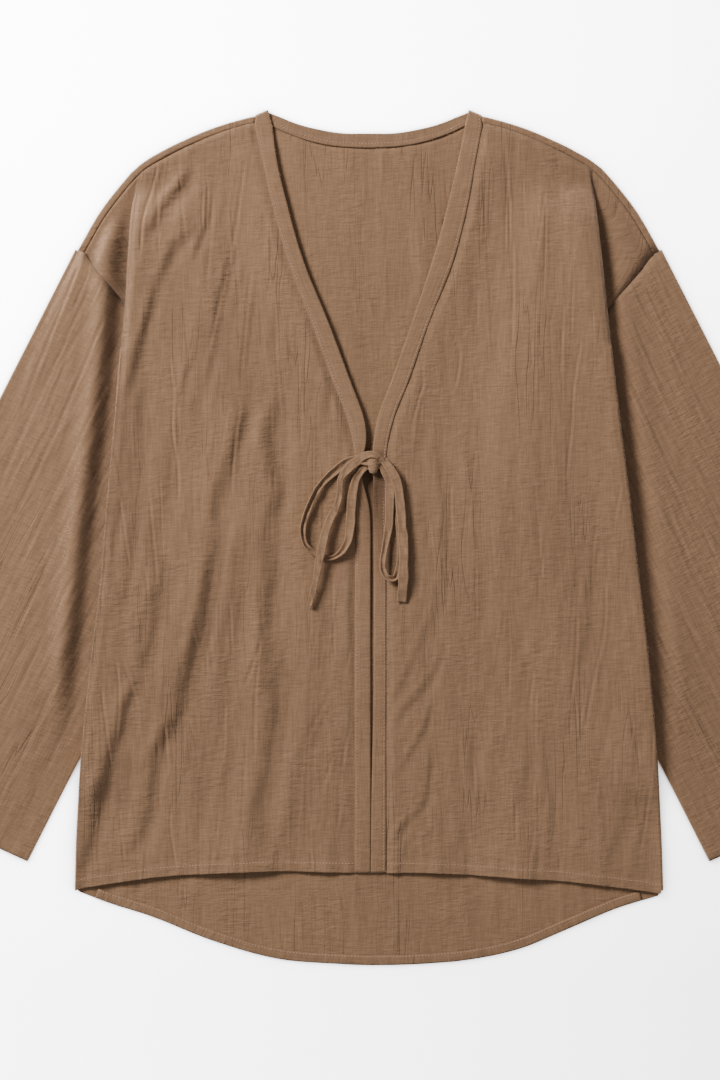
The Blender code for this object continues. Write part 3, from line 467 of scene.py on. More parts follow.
DEEPEST = 1.85                  # painted shade in a deep hollow goes past the dark shade by this factor
EVEN_SHADE = 0.35               # where flat cloth lies between the light and the dark shade
YARN_SHADE = 1.05               # how much the yarns and the drift move that shade as the cloth's own tone, and the creases as painted shade
DRIFT_SHADE = 0.7
CREASE_PAINTED_SHADE = 0.36
RIPPLE_HEIGHT = 3.4             # height of a gathered ripple against that of a crease
WEAVE_INPUTS = {"Place": "Vector", "Painted Shading": "Float", "Light Shade": "Color", "Dark Shade": "Color",
                "Yarn": "Float", "Crinkle": "Float"}
WEAVE_OUTPUTS = {"Color": "Color", "Height": "Float", "Roughness": "Float"}


def weave_group():
    """Inputs: the place on the cloth, its painted shading, a light and a dark shade, and how strong the
    yarns
    and crinkles are. Outputs: the colour, the height for a bump, and the roughness."""
    tree = bpy.data.node_groups.new("crinkled_weave", "ShaderNodeTree")
    for way, sockets in (("INPUT", WEAVE_INPUTS), ("OUTPUT", WEAVE_OUTPUTS)):
        for name, kind in sockets.items():
            tree.interface.new_socket(name, in_out=way, socket_type="NodeSocket" + kind)
    given = tree.nodes.new("NodeGroupInput")
    result = tree.nodes.new("NodeGroupOutput")
    place = given.outputs["Place"]

    def sums(operation, first, second=None):
        return math_node(tree, operation, first, second)

    # uneven yarns both ways
    weft = stretched_noise(tree, place, (75.0, 820.0), 2.0, 3.1)
    warp = stretched_noise(tree, place, (820.0, 60.0), 2.0, 7.7)
    yarns = sums("ADD", weft, warp)

    # thin creases where a noise crosses its middle value, kept only in patches
    line = stretched_noise(tree, place, (125.0, 8.0), 1.5, 11.3)
    away = sums("ABSOLUTE", sums("SUBTRACT", line, 0.5))
    thin = sums("SUBTRACT", 1.0, sums("MINIMUM", sums("MULTIPLY", away, 40.0), 1.0))
    patch = stretched_noise(tree, place, (30.0, 6.0), 1.0, 23.9)
    crease = sums("MULTIPLY", thin, ranged(tree, patch, 0.52, 0.72))

    # fine ripples, stronger where the cloth is gathered, and a slow drift of shade
    ripple = stretched_noise(tree, place, (95.0, 290.0), 3.0, 31.7)
    gathered = stretched_noise(tree, place, (26.0, 14.0), 2.0, 53.1)
    pucker = sums("MULTIPLY", ripple, ranged(tree, gathered, 0.4, 0.66, 0.35))
    drift = stretched_noise(tree, place, (9.0, 5.0), 3.0, 41.3)

    crinkle = sums("SUBTRACT", sums("MULTIPLY", pucker, RIPPLE_HEIGHT), crease)
    height = sums("ADD", sums("MULTIPLY", yarns, given.outputs["Yarn"]),
                  sums("MULTIPLY", crinkle, given.outputs["Crinkle"]))
    tree.links.new(height, result.inputs["Height"])

    # the yarns and the drift are the cloth's own tone; the creases and the painted shading input add
    # painted shade, and the painted shading lightens ridges a little as painted highlight
    shade = sums("MULTIPLY", sums("SUBTRACT", yarns, 1.0), YARN_SHADE)
    shade = sums("ADD", shade, sums("MULTIPLY", sums("SUBTRACT", drift, 0.5), DRIFT_SHADE))
    shade = sums("ADD", shade, sums("MULTIPLY", crease, CREASE_PAINTED_SHADE))
    shade = sums("ADD", sums("ADD", shade, given.outputs["Painted Shading"]), EVEN_SHADE)
    mix = tree.nodes.new("ShaderNodeMix")
    mix.data_type = "RGBA"
    mix.clamp_factor = False
    limited = sums("MAXIMUM", sums("MINIMUM", shade, DEEPEST), 0.0)
    tree.links.new(limited, mix.inputs["Factor"])
    tree.links.new(given.outputs["Light Shade"], mix.inputs["A"])
    tree.links.new(given.outputs["Dark Shade"], mix.inputs["B"])
    tree.links.new(mix.outputs["Result"], result.inputs["Color"])
    tree.links.new(sums("ADD", sums("MULTIPLY", yarns, 0.08), 0.78), result.inputs["Roughness"])
    return tree


WEAVE = weave_group()
print("shader group", WEAVE.name, "has", len(WEAVE.nodes), "nodes")


# %% [markdown]
# The garment's cloths differ only in shade and in how deep their crinkle is. The bands and the ties are
# pressed and folded double, so they are smoother, and their lighter colours are painted light for the
# light they catch. Each is matt, with the faint sheen that short fibres give where light grazes them.

# %% Cloth materials
YARN_HEIGHT = 0.16 * MM
CLOTH_CRINKLE = 0.42 * MM
BAND_CRINKLE = 0.25 * MM
TIE_CRINKLE = 0.2 * MM
LIGHT_BROWN = (0.300, 0.168, 0.089)
DARK_BROWN = (0.172, 0.093, 0.047)
INSIDE_LIGHT = (0.300, 0.168, 0.088)
INSIDE_DARK = (0.174, 0.094, 0.047)
# the bands' and the ties' lighter shades are painted light
BAND_LIGHT = (0.310, 0.174, 0.092)
BAND_DARK = (0.180, 0.097, 0.049)
TIE_LIGHT = (0.330, 0.187, 0.100)
TIE_DARK = (0.195, 0.106, 0.054)
THREAD_COLOUR = (0.46, 0.28, 0.19, 1)


def cloth_material(name, light, dark, crinkle):
    """A matt cloth with a little sheen: the weave group drives colour, roughness and bump."""
    made, tree, shader = new_material(name, {"Sheen Weight": 0.12, "Sheen Roughness": 0.6, "IOR": 1.4})
    weave = tree.nodes.new("ShaderNodeGroup")
    weave.node_tree = WEAVE
    for key, value in {"Light Shade": (*light, 1), "Dark Shade": (*dark, 1), "Yarn": YARN_HEIGHT,
                       "Crinkle": crinkle}.items():
        weave.inputs[key].default_value = value
    place = tree.nodes.new("ShaderNodeUVMap")
    place.uv_map = "cloth"
    # the hollow attribute carries the painted shading: painted shade in grooves, a little painted highlight
    # on ridges
    hollow = tree.nodes.new("ShaderNodeAttribute")
    hollow.attribute_name = "hollow"
    bump = add_node(tree, "ShaderNodeBump", {"Distance": 1.0, "Strength": 1.0})
    tree.links.new(place.outputs["UV"], weave.inputs["Place"])
    tree.links.new(hollow.outputs["Fac"], weave.inputs["Painted Shading"])
    tree.links.new(weave.outputs["Color"], shader.inputs["Base Color"])
    tree.links.new(weave.outputs["Roughness"], shader.inputs["Roughness"])
    tree.links.new(weave.outputs["Height"], bump.inputs["Height"])
    tree.links.new(bump.outputs["Normal"], shader.inputs["Normal"])
    return made


OUTSIDE = cloth_material("cloth_outside", LIGHT_BROWN, DARK_BROWN, CLOTH_CRINKLE)
INSIDE = cloth_material("cloth_inside", INSIDE_LIGHT, INSIDE_DARK, CLOTH_CRINKLE)
BAND = cloth_material("band_cloth", BAND_LIGHT, BAND_DARK, BAND_CRINKLE)
TIE = cloth_material("tie_cloth", TIE_LIGHT, TIE_DARK, TIE_CRINKLE)
THREAD = new_material("thread", {"Base Color": THREAD_COLOUR, "Roughness": 0.6})[0]
print("materials:", [made.name for made in (OUTSIDE, INSIDE, BAND, TIE, THREAD)])


# %% [markdown]
# A grid of points becomes cloth in one helper. It makes a face for each cell that is cloth, stores two
# maps, and gives the surface a wall with Solidify, centred on the grid as the solids' walls are. The
# first map is the place on the cut cloth, for the weave. The second is painted shading: from how hollow
# each point is, the mean of its neighbours' heights less its own, as painted shade in the grooves and a
# little painted highlight on the ridges. More painted shade, given piece by piece, is added where the
# cloth lies deep between two layers and little light gets back out.

# %% From grid to cloth
HOLLOW_SHARE = 0.55             # painted shade for each millimetre of hollow
HOLLOW_LIMITS = (-0.12, 0.5)    # a ridge gets less painted highlight than a groove gets painted shade


def hollow_of(height):
    """Painted shading: the mean of the four neighbours two steps away, less the point's own height, scaled
    and held within limits.
    """
    padded = np.pad(height, 2, mode="edge")
    mean = (padded[4:, 2:-2] + padded[:-4, 2:-2] + padded[2:-2, 4:] + padded[2:-2, :-4]) / 4
    return np.clip((mean - height) * HOLLOW_SHARE, *HOLLOW_LIMITS)


def cloth_lengths(middle):
    """Place on the flat cloth, in metres: the length run along each row, and the height of each row."""
    steps = np.linalg.norm(np.diff(middle, axis=1), axis=2)
    across = np.concatenate([np.zeros((len(middle), 1)), np.cumsum(steps, axis=1)], axis=1)
    along = np.broadcast_to(run_along(middle[:, 0])[:, None], across.shape)
    return np.stack([across, along], axis=2) * MM


def surface_area(points, faces):
    """Half the length of the cross product of each cell's diagonals, summed."""
    corner = points[faces]
    crossed = np.cross(corner[:, 2] - corner[:, 0], corner[:, 3] - corner[:, 1])
    return np.linalg.norm(crossed, axis=1).sum() / 2


def cloth_piece(name, middle, material, wall, cells=None, place=None, shade=0.0, turned=False):
    """An object from a grid of middle points in millimetres, with its two maps and its wall.

    Cells says which cells are cloth, and all of them are if it isn't given. Place is the first map, worked
    out from the grid if it isn't given. The painted shade is added to the second. A turned grid is read
    from its last column to its first, so that its faces look up."""
    order = slice(None, None, -1) if turned else slice(None)
    middle = middle[:, order]
    rows, cols = middle.shape[:2]
    cells = np.ones((rows - 1, cols - 1), dtype=bool) if cells is None else cells[:, order]
    place = cloth_lengths(middle) if place is None else place[:, order] * MM
    # painted shading: from the hollows, plus any painted shade given for the piece
    depth = hollow_of(middle[..., 2]) + np.broadcast_to(shade, (rows, cols))[:, order]
    index = np.arange(rows * cols).reshape(rows, cols)
    quads = np.stack([index[:-1, :-1], index[1:, :-1], index[1:, 1:], index[:-1, 1:]], axis=2)[cells]
    used, faces = np.unique(quads, return_inverse=True)
    faces = faces.reshape(-1, 4)
    points = middle.reshape(-1, 3)[used] * MM
    points[:, 1] += CENTRING
    thing = mesh_object(name, points.tolist(), faces.tolist(), material)
    layer = thing.data.uv_layers.new(name="cloth")
    layer.data.foreach_set("uv", place.reshape(-1, 2)[used][faces.ravel()].astype(np.float32).ravel())
    hollow = thing.data.attributes.new("hollow", "FLOAT", "POINT")
    hollow.data.foreach_set("value", depth.reshape(-1)[used].astype(np.float32))
    thing.data.shade_smooth()
    thickness = thing.modifiers.new("wall", "SOLIDIFY")
    thickness.thickness = wall * MM
    thickness.offset = 0.0
    print(name, len(faces), "cells,", round(surface_area(points, faces), 4), "square metres")
    return thing


print("cloth helpers ready")


# %% [markdown]
# The body comes next, for everything else lies on it or beside it. Its fronts and its back share one
# outline, so one function works out both, as the upper and the lower layer of a stack of two.
#
# Below the shoulder the stack folds sideways twice, which is the pleat. In cross-section the line runs
# over a first circle, straight to a second and under it. Both circles have the same bend, so the
# straight stretch is a line that touches both, and its slope follows from how far apart they are.
#
# Cloth that lies over other cloth doesn't lie flat. The front rises beside the open neck and round the
# knot, and the sleeve swells beside the body's edge. In the narrow valleys between them light is lost
# that a render of smooth surfaces keeps, so each valley also has a shade of its own, which is a smooth
# bump of darkness across it and fades out along it.

# %% Edge of the body
PLEAT_ROW_STEP = 4.0            # rows lie this far apart down the cloth
HEM_ROWS = (10.0, 8.0, 6.5, 5.0, 3.5, 2.0, 0.8, 0.0)     # rows this far above the hem, for its stitching
ARC_STEPS = 8                   # cells round each bend, along the line between the pleat's two bends,
STRAIGHT_STEPS = 3              # and over the low triangle out to the armhole seam
LOW_STEPS = 8
TUCK = 0.9                      # the front's edge goes under the band by this much
SLEEVE_SEAM_END = np.array([181.5, 165.2])      # the armhole seam's low end, under the body


def row_places(side, step):
    """How far down each row lies, from 0 at the shoulder seam to 1 at the hem, and how many are pleated."""
    length = tip(side)[1] - EDGE["up"][0]
    pleat = np.linspace(0, PLEAT_LENGTH, int(PLEAT_LENGTH / step) + 1)
    start_of_hem = length - HEM_ROWS[0]
    middle_rows = int((start_of_hem - PLEAT_LENGTH) / step)
    rest = np.linspace(PLEAT_LENGTH, start_of_hem, middle_rows + 1)[1:-1]
    hem = length - np.array(HEM_ROWS)
    return np.concatenate([pleat, rest, hem]) / length, len(pleat)


def edge_line(side, places):
    """Points of the body's edge, the direction out across it, and the distance down it, for each row."""
    top = tip(side)
    up = top[1] + (EDGE["up"][0] - top[1]) * places
    out = edge_out(up, side)
    out = out + (top[0] - out) * (1 - ease((top[1] - up) / PLEAT_START))
    points = np.stack([out, up], axis=1)
    along = unit(np.gradient(points, axis=0))
    across = np.stack([-along[:, 1], along[:, 0]], axis=1)
    across[across[:, 0] < 0] *= -1
    down = np.linalg.norm(points - top, axis=1)
    seam_way = unit(np.array([6.0, seam_up(top[0] + 3) - seam_up(top[0] - 3)]))
    turned = ease(down / ACROSS_TURN)[:, None]
    return points, unit((1 - turned) * seam_way + turned * across), down


def pleat_section(rise, depth):
    """The folded line for every row at once: distance out, height and heading at each step along it."""
    rise = rise[:, None]
    across = 2 * FOLD_R - depth[:, None]
    drop = 2 * FOLD_R - rise
    length = np.hypot(across, drop)
    heading = np.arctan2(drop, across) - np.arcsin(np.minimum(1.0, 2 * FOLD_R / length))
    straight = np.sqrt(np.maximum(0.0, length**2 - 4 * FOLD_R**2))
    arc = -heading * FOLD_R
    total = 2 * arc + straight
    steps = 2 * ARC_STEPS + STRAIGHT_STEPS
    t = np.linspace(0, 1, steps + 1)[None, :]
    first = ARC_STEPS / steps
    last = (ARC_STEPS + STRAIGHT_STEPS) / steps
    by_fold = np.where(t <= first, t / first * arc,
                       np.where(t <= last, arc + (t - first) / (last - first) * straight,
                                arc + straight + (t - last) / (1 - last) * arc))
    formed = ease(-heading / FORMED_AT)
    s = (1 - formed) * t * total + formed * by_fold
    angle = np.where(s < arc, -s / FOLD_R, np.where(s > arc + straight, -(total - s) / FOLD_R, heading))
    h = np.where(s <= arc, FOLD_R * np.sin(-angle), 0.0)
    z = np.where(s <= arc, rise - FOLD_R + FOLD_R * np.cos(angle), 0.0)
    between = (s > arc) & (s <= arc + straight)
    h = np.where(between, FOLD_R * np.sin(-heading) + (s - arc) * np.cos(heading), h)
    z = np.where(between, rise - FOLD_R + FOLD_R * np.cos(heading) + (s - arc) * np.sin(heading), z)
    beyond = s > arc + straight
    h = np.where(beyond, across + FOLD_R * np.sin(angle), h)
    z = np.where(beyond, FOLD_R - FOLD_R * np.cos(angle), z)
    return h, z, angle


def proud(inward, down):
    """How much higher than its solid the cloth stands near the edge, as a factor that fades inwards and
    towards the shoulder."""
    return 1 + PROUD * ease(1 - inward / PROUD_WIDTH) * ease(down / PROUD_RUN)


def lift(side, out, up):
    """Height of the body's stack over the sleeve and the pleat: a ramp that rises towards the edge."""
    rise = np.interp(up, LIFT["up"], LIFT["rise"])
    reach = np.interp(up, LIFT["up"], LIFT["reach"])
    down = np.maximum(0, tip(side)[1] - up)
    rise = np.where(up > LIFT["up"][-2], FOLD_RISE * ease(down / RISE_RUN), rise)
    inward = edge_out(up, side) - out
    return rise * ease(1 - (inward - reach - RAMP_START) / RAMP) * proud(inward, down)


V_LIFT = 3.0                    # the front stands this high beside the open neck
KNOT_LIFT = (3.4, 2.0)          # the knot holds the left and the right front this far off the back
SWELL = {"left": 4.6, "right": 1.2}
SWELL_FLANK = (12.0, 19.0)      # distance of the swell's flank from the edge, near the shoulder and below
SWELL_HALF = 8.5
SWELL_REACH = 130.0             # and where it ends on the sleeve
VALLEY_SHADE = {"left": 0.62, "right": 0.25}
KNOT_SHADE = 1.25
LOOP_SHADE = 1.2

# Each window: its low and its high end, and the length over which it fades at each
NECKLINE = (25.0, 374.0, 85.0, 32.0)
SWELLING = (-205.0, 332.0, 110.0, 60.0)
VALLEY = (-190.0, 325.0, 150.0, 60.0)

# Each bell: its middle and its half width
FROM_BAND = (0.0, 28.0)
KNOT_ACROSS = (0.0, 34.0)
KNOT_ALONG = (60.0, 26.0)
VALLEY_ACROSS = (0.0, 17.0)
UNDER_KNOT = (6.0, 9.5)
BELOW_KNOT = (60.0, 66.0)
LOOP_ACROSS = (20.5, 5.0)
LOOP_ALONG = (-19.0, 13.0)


def neckline_lift(up, from_band):
    """Rise of the front beside the open neck: full along the neckline, with eased ends, and a bell curve
    away from the band."""
    return V_LIFT * window(up, *NECKLINE) * bell(from_band, *FROM_BAND)


def knot_lift(x, y):
    """Rise of the fronts round the knot: a bell curve both ways, wider down the cloth than across."""
    rise = KNOT_LIFT[1] + (KNOT_LIFT[0] - KNOT_LIFT[1]) * ease((16.0 - x) / 16.0)
    return rise * bell(y, *KNOT_ALONG) * bell(x, *KNOT_ACROSS)


def valley_shade(side, out, up):
    """Shade in the valley beside the body's edge: a bell curve outwards from the edge, eased at both ends
    of the edge, and none under the body."""
    beyond = out - edge_out(up, side)
    across = bell(beyond, *VALLEY_ACROSS) * ease((beyond + 14.0) / 12.0)
    return VALLEY_SHADE[side] * across * window(up, *VALLEY)


def bow_shade(x, y):
    """Shade under the bow: below the knot a bell curve across and a slow fade down, and a second bell
    inside the right loop."""
    fading_down = bell(np.minimum(y, BELOW_KNOT[0]), *BELOW_KNOT) * ease((82.0 - y) / 14.0)
    in_loop = bell(x, *LOOP_ACROSS) * bell(y, *LOOP_ALONG)
    return KNOT_SHADE * bell(x, *UNDER_KNOT) * fading_down + LOOP_SHADE * in_loop


def side_swell(side, out, up):
    """Swell of the cloth beside the body's edge, as a fold whose hollow lies at the edge: one plus u times
    e to the power of (1 - u squared) / 2, with u the distance from the fold's flank over its half width.
    It fades under the body, away from it, and towards the shoulder and the hand."""
    beyond = out - edge_out(up, side)
    flank = SWELL_FLANK[0] + (SWELL_FLANK[1] - SWELL_FLANK[0]) * ease((200.0 - up) / 260.0)
    u = (beyond - flank) / SWELL_HALF
    across = (1 + u * np.exp((1 - u**2) / 2)) * window(beyond, -12.0, SWELL_REACH, 12.0, 100.0)
    return SWELL[side] * across * window(up, *SWELLING)


print("edge of the body, left and right, at the hem:", EDGE["left"][0], EDGE["right"][0])


# %% Body surface
BACK_INSET = 0.6                # the back's edge lies this far inside the front's, out of sight
SEAM_GAP = 0.15                 # and the cloth ends this far short of the armhole seam
FIRST_ROW_DROP = 0.45           # the front's first row dips under the edge of the shoulder's wrap
BAND_FADE = 9.0                 # relief starts from nothing at the band and is whole this far from it


def body_surface(side, front, column_step, row_step, relief):
    """Middle points, which cells are cloth, and the relief, for one side of the front or the back.

    Columns run from the band's seam or the centre line out to the edge, over the pleat's two folds, and
    on to the armhole seam. Below the pleat the front's cloth turns round the side instead."""
    layer = 1 if front else -1
    sign = SIDES[side]
    places, pleated = row_places(side, row_step)
    edge, across, down = edge_line(side, places)
    rise = FOLD_RISE * ease(down / RISE_RUN) * proud(0.0, down)
    depth = (-PLEAT_SPREAD * (1 - ease(down / PLEAT_START))
             + PLEAT_GROWTH * np.maximum(0, down - PLEAT_START))
    fold_in = FOLD_R + LAYER + WALL / 2
    side_in = SIDE_R + WALL / 2 + (0.0 if front else BACK_INSET)
    inset = np.where(np.arange(len(places)) < pleated, fold_in, side_in)
    flat_end = edge - inset[:, None] * across

    band_seam = BANDS[side + "_seam"] * sign
    hem_up = HEM["front_up" if front else "back_up"]
    width = flat_end[-1, 0]
    share = np.linspace(0, 1, int(width / column_step) + 1)
    if front:
        top_out = SEAM["out"][0] - TUCK + (flat_end[0, 0] - SEAM["out"][0] + TUCK) * share
    else:
        top_out = flat_end[0, 0] * share
    top_up = seam_up(np.maximum(top_out, SEAM["out"][0])) + (BACK_INSET if front else 0.0)
    if not front:
        neck_up = smooth(top_out, NECK["out"], NECK["seam"]) - 0.3
        top_up = np.where(top_out < SEAM["out"][0], np.minimum(neck_up, seam_up(SEAM["out"][0])), top_up)
    low_inner = band_seam[0] if front else 0.0
    low_out = low_inner + (flat_end[-1, 0] - low_inner) * share
    low_up = smooth(low_out * sign, HEM["across"], hem_up)
    low_up[-1] = flat_end[-1, 1]

    up = top_up[None, :] + (low_up - top_up)[None, :] * places[:, None]
    blend = ease(share)[None, :]**4
    up = up * (1 - blend) + (flat_end[:, 1][:, None] + (up - up[:, -1:])) * blend
    inner = (smooth(up, BANDS["up"], band_seam) - TUCK) if front else np.zeros_like(up)
    out = inner + (flat_end[:, 0][:, None] - inner) * share[None, :]
    inward = edge_out(up, side) - out
    height = LOW + lift(side, out, up) + layer * LAYER
    height[:pleated, -1] = LOW + rise[:pleated] + layer * LAYER
    if front:
        from_seam = seam_up(np.clip(out, SEAM["out"][0], tip(side)[0])) - up
        height = height + (2 * SHOULDER_R - 2 * LAYER) * np.clip(1 - from_seam / SHOULDER_FADE, 0, 1)**2
        height[0] -= FIRST_ROW_DROP
        height = height + AIR * ease(lift(side, out, up) / AIR_FROM) * ease(inward / AIR_EDGE)
        below = (np.arange(len(places)) >= pleated)[:, None]
        puff = np.clip(1 - (inward - side_in) / SIDE_PUFF, 0, 1)**2
        height = height + below * (2 * SIDE_R - 2 * LAYER) * puff

    rows, flat = out.shape
    folds = 2 * ARC_STEPS + STRAIGHT_STEPS
    middle = np.zeros((rows, flat + folds + LOW_STEPS, 3))
    middle[:, :flat] = np.stack([out, up, height], axis=2)

    # the pleat's two folds, then the low triangle out to the armhole seam
    h, z, angle = pleat_section(rise[:pleated], depth[:pleated])
    turned = np.stack([-np.sin(angle) * across[:pleated, :1], -np.sin(angle) * across[:pleated, 1:],
                       np.cos(angle)], axis=2)
    plan = flat_end[:pleated, None] + h[..., None] * across[:pleated, None]
    line = raised(plan, LOW + z) + layer * LAYER * turned
    middle[:pleated, flat:flat + folds] = line[:, 1:]
    seam_top = np.array([SEAM["out"][-1], SEAM["up"][-1]])
    reached = (SEAM_STOP * down[:pleated] / down[pleated - 1])[:, None]
    end = seam_top + reached * (SLEEVE_SEAM_END - seam_top) + np.array([-SEAM_GAP, SEAM_GAP])
    t = np.linspace(0, 1, LOW_STEPS + 1)[None, 1:, None]
    low = plan[:, -1:] + t * (end - plan[:, -1])[:, None]
    curved = ease(1 - down[:pleated] / 28.0)[:, None]
    low[..., 1] += curved * (seam_up(low[..., 0]) - low[..., 1] - down[:pleated, None]) * (t[..., 0] < 1)
    middle[:pleated, -LOW_STEPS:, :2] = low
    middle[:pleated, -LOW_STEPS:, 2] = LOW + layer * LAYER
    if front:
        bump = (2 * SHOULDER_R - 2 * LAYER) * np.clip(1 - down[:pleated] / SHOULDER_FADE, 0, 1)**2
        middle[:pleated, flat:, 2] += bump[:, None]

    # below the pleat the front's cloth turns round the side and ends under the back
    if front:
        turn = np.linspace(0, math.pi, ARC_STEPS + 1)[None, 1:]
        reach = SIDE_R * np.sin(turn)[..., None] * across[pleated:, None]
        middle[pleated:, flat:flat + ARC_STEPS, :2] = flat_end[pleated:, None] + reach
        middle[pleated:, flat:flat + ARC_STEPS, 2] = height[pleated:, -1:] + SIDE_R * (np.cos(turn) - 1)
    cells = np.zeros((rows - 1, middle.shape[1] - 1), dtype=bool)
    cells[:, :flat - 1] = True
    cells[:pleated - 1] = True
    if front:
        cells[:, :flat - 1 + ARC_STEPS] = True
    steps = np.linalg.norm(np.diff(middle[:, flat - 1:], axis=1), axis=2)
    place = middle[..., :2].copy()
    place[:, flat:, 0] = place[:, flat - 1:flat, 0] + np.cumsum(steps, axis=1)
    middle[..., 0] *= sign
    place[..., 0] *= sign
    shape = relief(middle[..., 0], middle[..., 1])
    fade = np.ones_like(shape)
    fade[:, :flat] = ease((out - inner) / BAND_FADE) if front else 1.0
    fade[:, flat:] = np.clip(1 - np.arange(folds + LOW_STEPS) / ARC_STEPS, 0, 1)[None, :]
    fade[:pleated, -LOW_STEPS:] = 0.5
    fade[pleated:, flat + ARC_STEPS:] = 0.0
    middle[..., 2] += shape * fade
    if front:
        middle[:, :flat, 2] += neckline_lift(up, out - inner) + knot_lift(middle[:, :flat, 0], up)
    from_shoulder = 0.4 * (seam_up(np.abs(low[..., 0])) - low[..., 1])
    swell = side_swell(side, low[..., 0], low[..., 1]) * ease(from_shoulder / 14.0)
    middle[:pleated, -LOW_STEPS:, 2] += swell
    return middle, cells, place, flat, pleated


print("body surface ready")


# %% [markdown]
# On the fronts the long folds hang from the shoulders and fan out towards the hem. They are listed as a
# fitter would chalk them: how wide and how high each is, and the points it runs through. The left front
# carries the deepest ones, in front of the armhole. Drawn as they are listed, they would look like
# strokes of a brush. So a slow noise moves each line sideways and another changes its height, and broad
# drapes lie between the folds.
#
# Where a hollow would reach the back's cloth it stops. The height is held up by a smooth floor: half the
# sum of the height and the root of its square plus a little, which has no edge where it takes over.

# %% Folds of the fronts
# Each row: half the width of the shaded flank, the height of its crest, and points down the flank
FRONT_FOLDS = (
    (5.6, 1.75, ((-158.0, 339.8), (-171.5, 312.8), (-185.0, 290.2), (-196.7, 269.6), (-203.0, 255.2))),
    (5.0, 1.40, ((-152.6, 283.9), (-167.8, 267.8), (-179.6, 249.8), (-187.7, 233.6), (-194.8, 213.8),
        (-201.2, 191.2), (-207.5, 167.0), (-212.0, 141.8), (-213.8, 122.0))),
    (2.6, 0.61, ((-140.0, 308.2), (-147.2, 281.2), (-153.5, 258.8), (-160.7, 239.0))),
    (4.0, 1.05, ((-122.0, 267.8), (-128.2, 231.8), (-133.7, 204.8), (-136.3, 177.8), (-140.8, 152.6),
        (-146.2, 131.0))),
    (3.0, 0.88, ((-149.8, 170.6), (-160.7, 155.2), (-166.1, 137.2), (-170.6, 122.0))),
    (7.5, 1.55, ((-113.0, 128.2), (-118.5, 96.8), (-126.0, 65.2), (-131.0, 33.8), (-134.5, 2.2),
        (-139.5, -24.8), (-146.2, -56.2), (-151.7, -83.2), (-159.8, -110.2), (-166.0, -146.2))),
    (7.0, 2.10, ((-160.7, -114.8), (-169.7, -150.8), (-181.3, -177.8), (-190.3, -209.2), (-198.5, -240.8),
        (-206.6, -265.1), (-217.3, -288.4))),
    (10.0, 2.01, ((-88.7, 132.8), (-87.8, 87.8), (-85.0, 42.8), (-91.4, -20.2), (-92.2, -74.2),
        (-88.7, -128.2), (-87.8, -164.2), (-92.2, -218.2), (-99.5, -263.2), (-104.9, -297.4))),
    (4.0, 0.81, ((-39.1, 161.6), (-36.5, 123.8), (-33.8, 87.8), (-31.9, 53.6))),
    (10.0, 1.40, ((-176.8, 101.2), (-182.2, 51.8), (-187.7, 6.8), (-193.1, -42.8), (-198.5, -92.2),
        (-209.2, -128.2))),
    (7.0, 2.27, ((-208.3, -119.2), (-220.1, -155.2), (-230.8, -191.2), (-240.8, -231.8), (-249.8, -272.2),
        (-254.2, -301.1))),
    (6.0, 0.79, ((-205.7, 186.8), (-204.8, 105.8), (-207.5, 33.8), (-214.7, -20.2), (-221.8, -74.2))),
    (9.0, 0.65, ((-45.5, -20.2), (-41.9, -92.2), (-45.5, -146.2), (-56.2, -200.2), (-65.2, -263.2),
        (-68.9, -297.4))),
    (8.0, 0.61, ((-147.2, -200.2), (-151.7, -236.2), (-153.5, -297.4))),
    (7.0, 0.40, ((123.8, 42.8), (125.5, -20.2), (131.0, -92.2), (137.2, -146.2), (135.5, -200.2),
        (130.1, -263.2))),
    (6.0, 0.35, ((158.8, -92.2), (155.2, -146.2), (157.1, -186.8), (161.6, -236.2), (165.2, -290.2))),
    (5.0, 0.38, ((61.6, 87.8), (64.4, 51.8), (67.0, 15.8), (69.8, -20.2), (64.4, -47.2))),
    (8.0, 0.30, ((124.7, 348.8), (126.5, 303.8), (130.1, 249.8), (129.2, 195.8))),
    (7.0, 0.35, ((158.8, 330.8), (157.1, 267.8), (156.2, 213.8))),
    (6.0, 0.40, ((185.8, 330.8), (191.2, 294.8), (199.3, 249.8), (204.8, 195.8))),
    (6.0, 0.35, ((203.8, 51.8), (199.3, -2.2), (194.0, -56.2), (185.8, -128.2), (174.2, -200.2))),
    (8.0, 0.60, ((244.3, -146.2), (233.6, -209.2), (224.6, -263.2), (219.2, -301.1))),
    (3.6, 0.69, ((66.2, -47.2), (57.1, -69.8), (46.4, -92.2), (35.6, -110.2), (24.8, -131.8),
        (18.4, -149.8))),
    (3.4, 0.75, ((69.8, -83.2), (61.6, -110.2), (50.0, -128.2), (35.6, -146.2), (24.8, -162.5),
        (19.4, -176.8))),
    (3.0, 0.62, ((58.1, -135.5), (50.0, -159.8), (39.1, -186.8), (28.4, -205.7), (21.2, -220.1))),
    (3.0, 0.62, ((55.4, -182.2), (52.6, -209.2), (50.0, -236.2), (37.4, -249.8), (24.8, -270.4),
        (19.4, -283.1))),
    (2.4, 0.56, ((64.4, -251.6), (55.4, -265.1), (46.4, -283.1))),
    (6.0, 0.50, ((91.4, 87.8), (98.5, 15.8), (100.4, -56.2), (96.8, -137.2), (93.2, -227.2),
        (89.5, -290.2))),
)

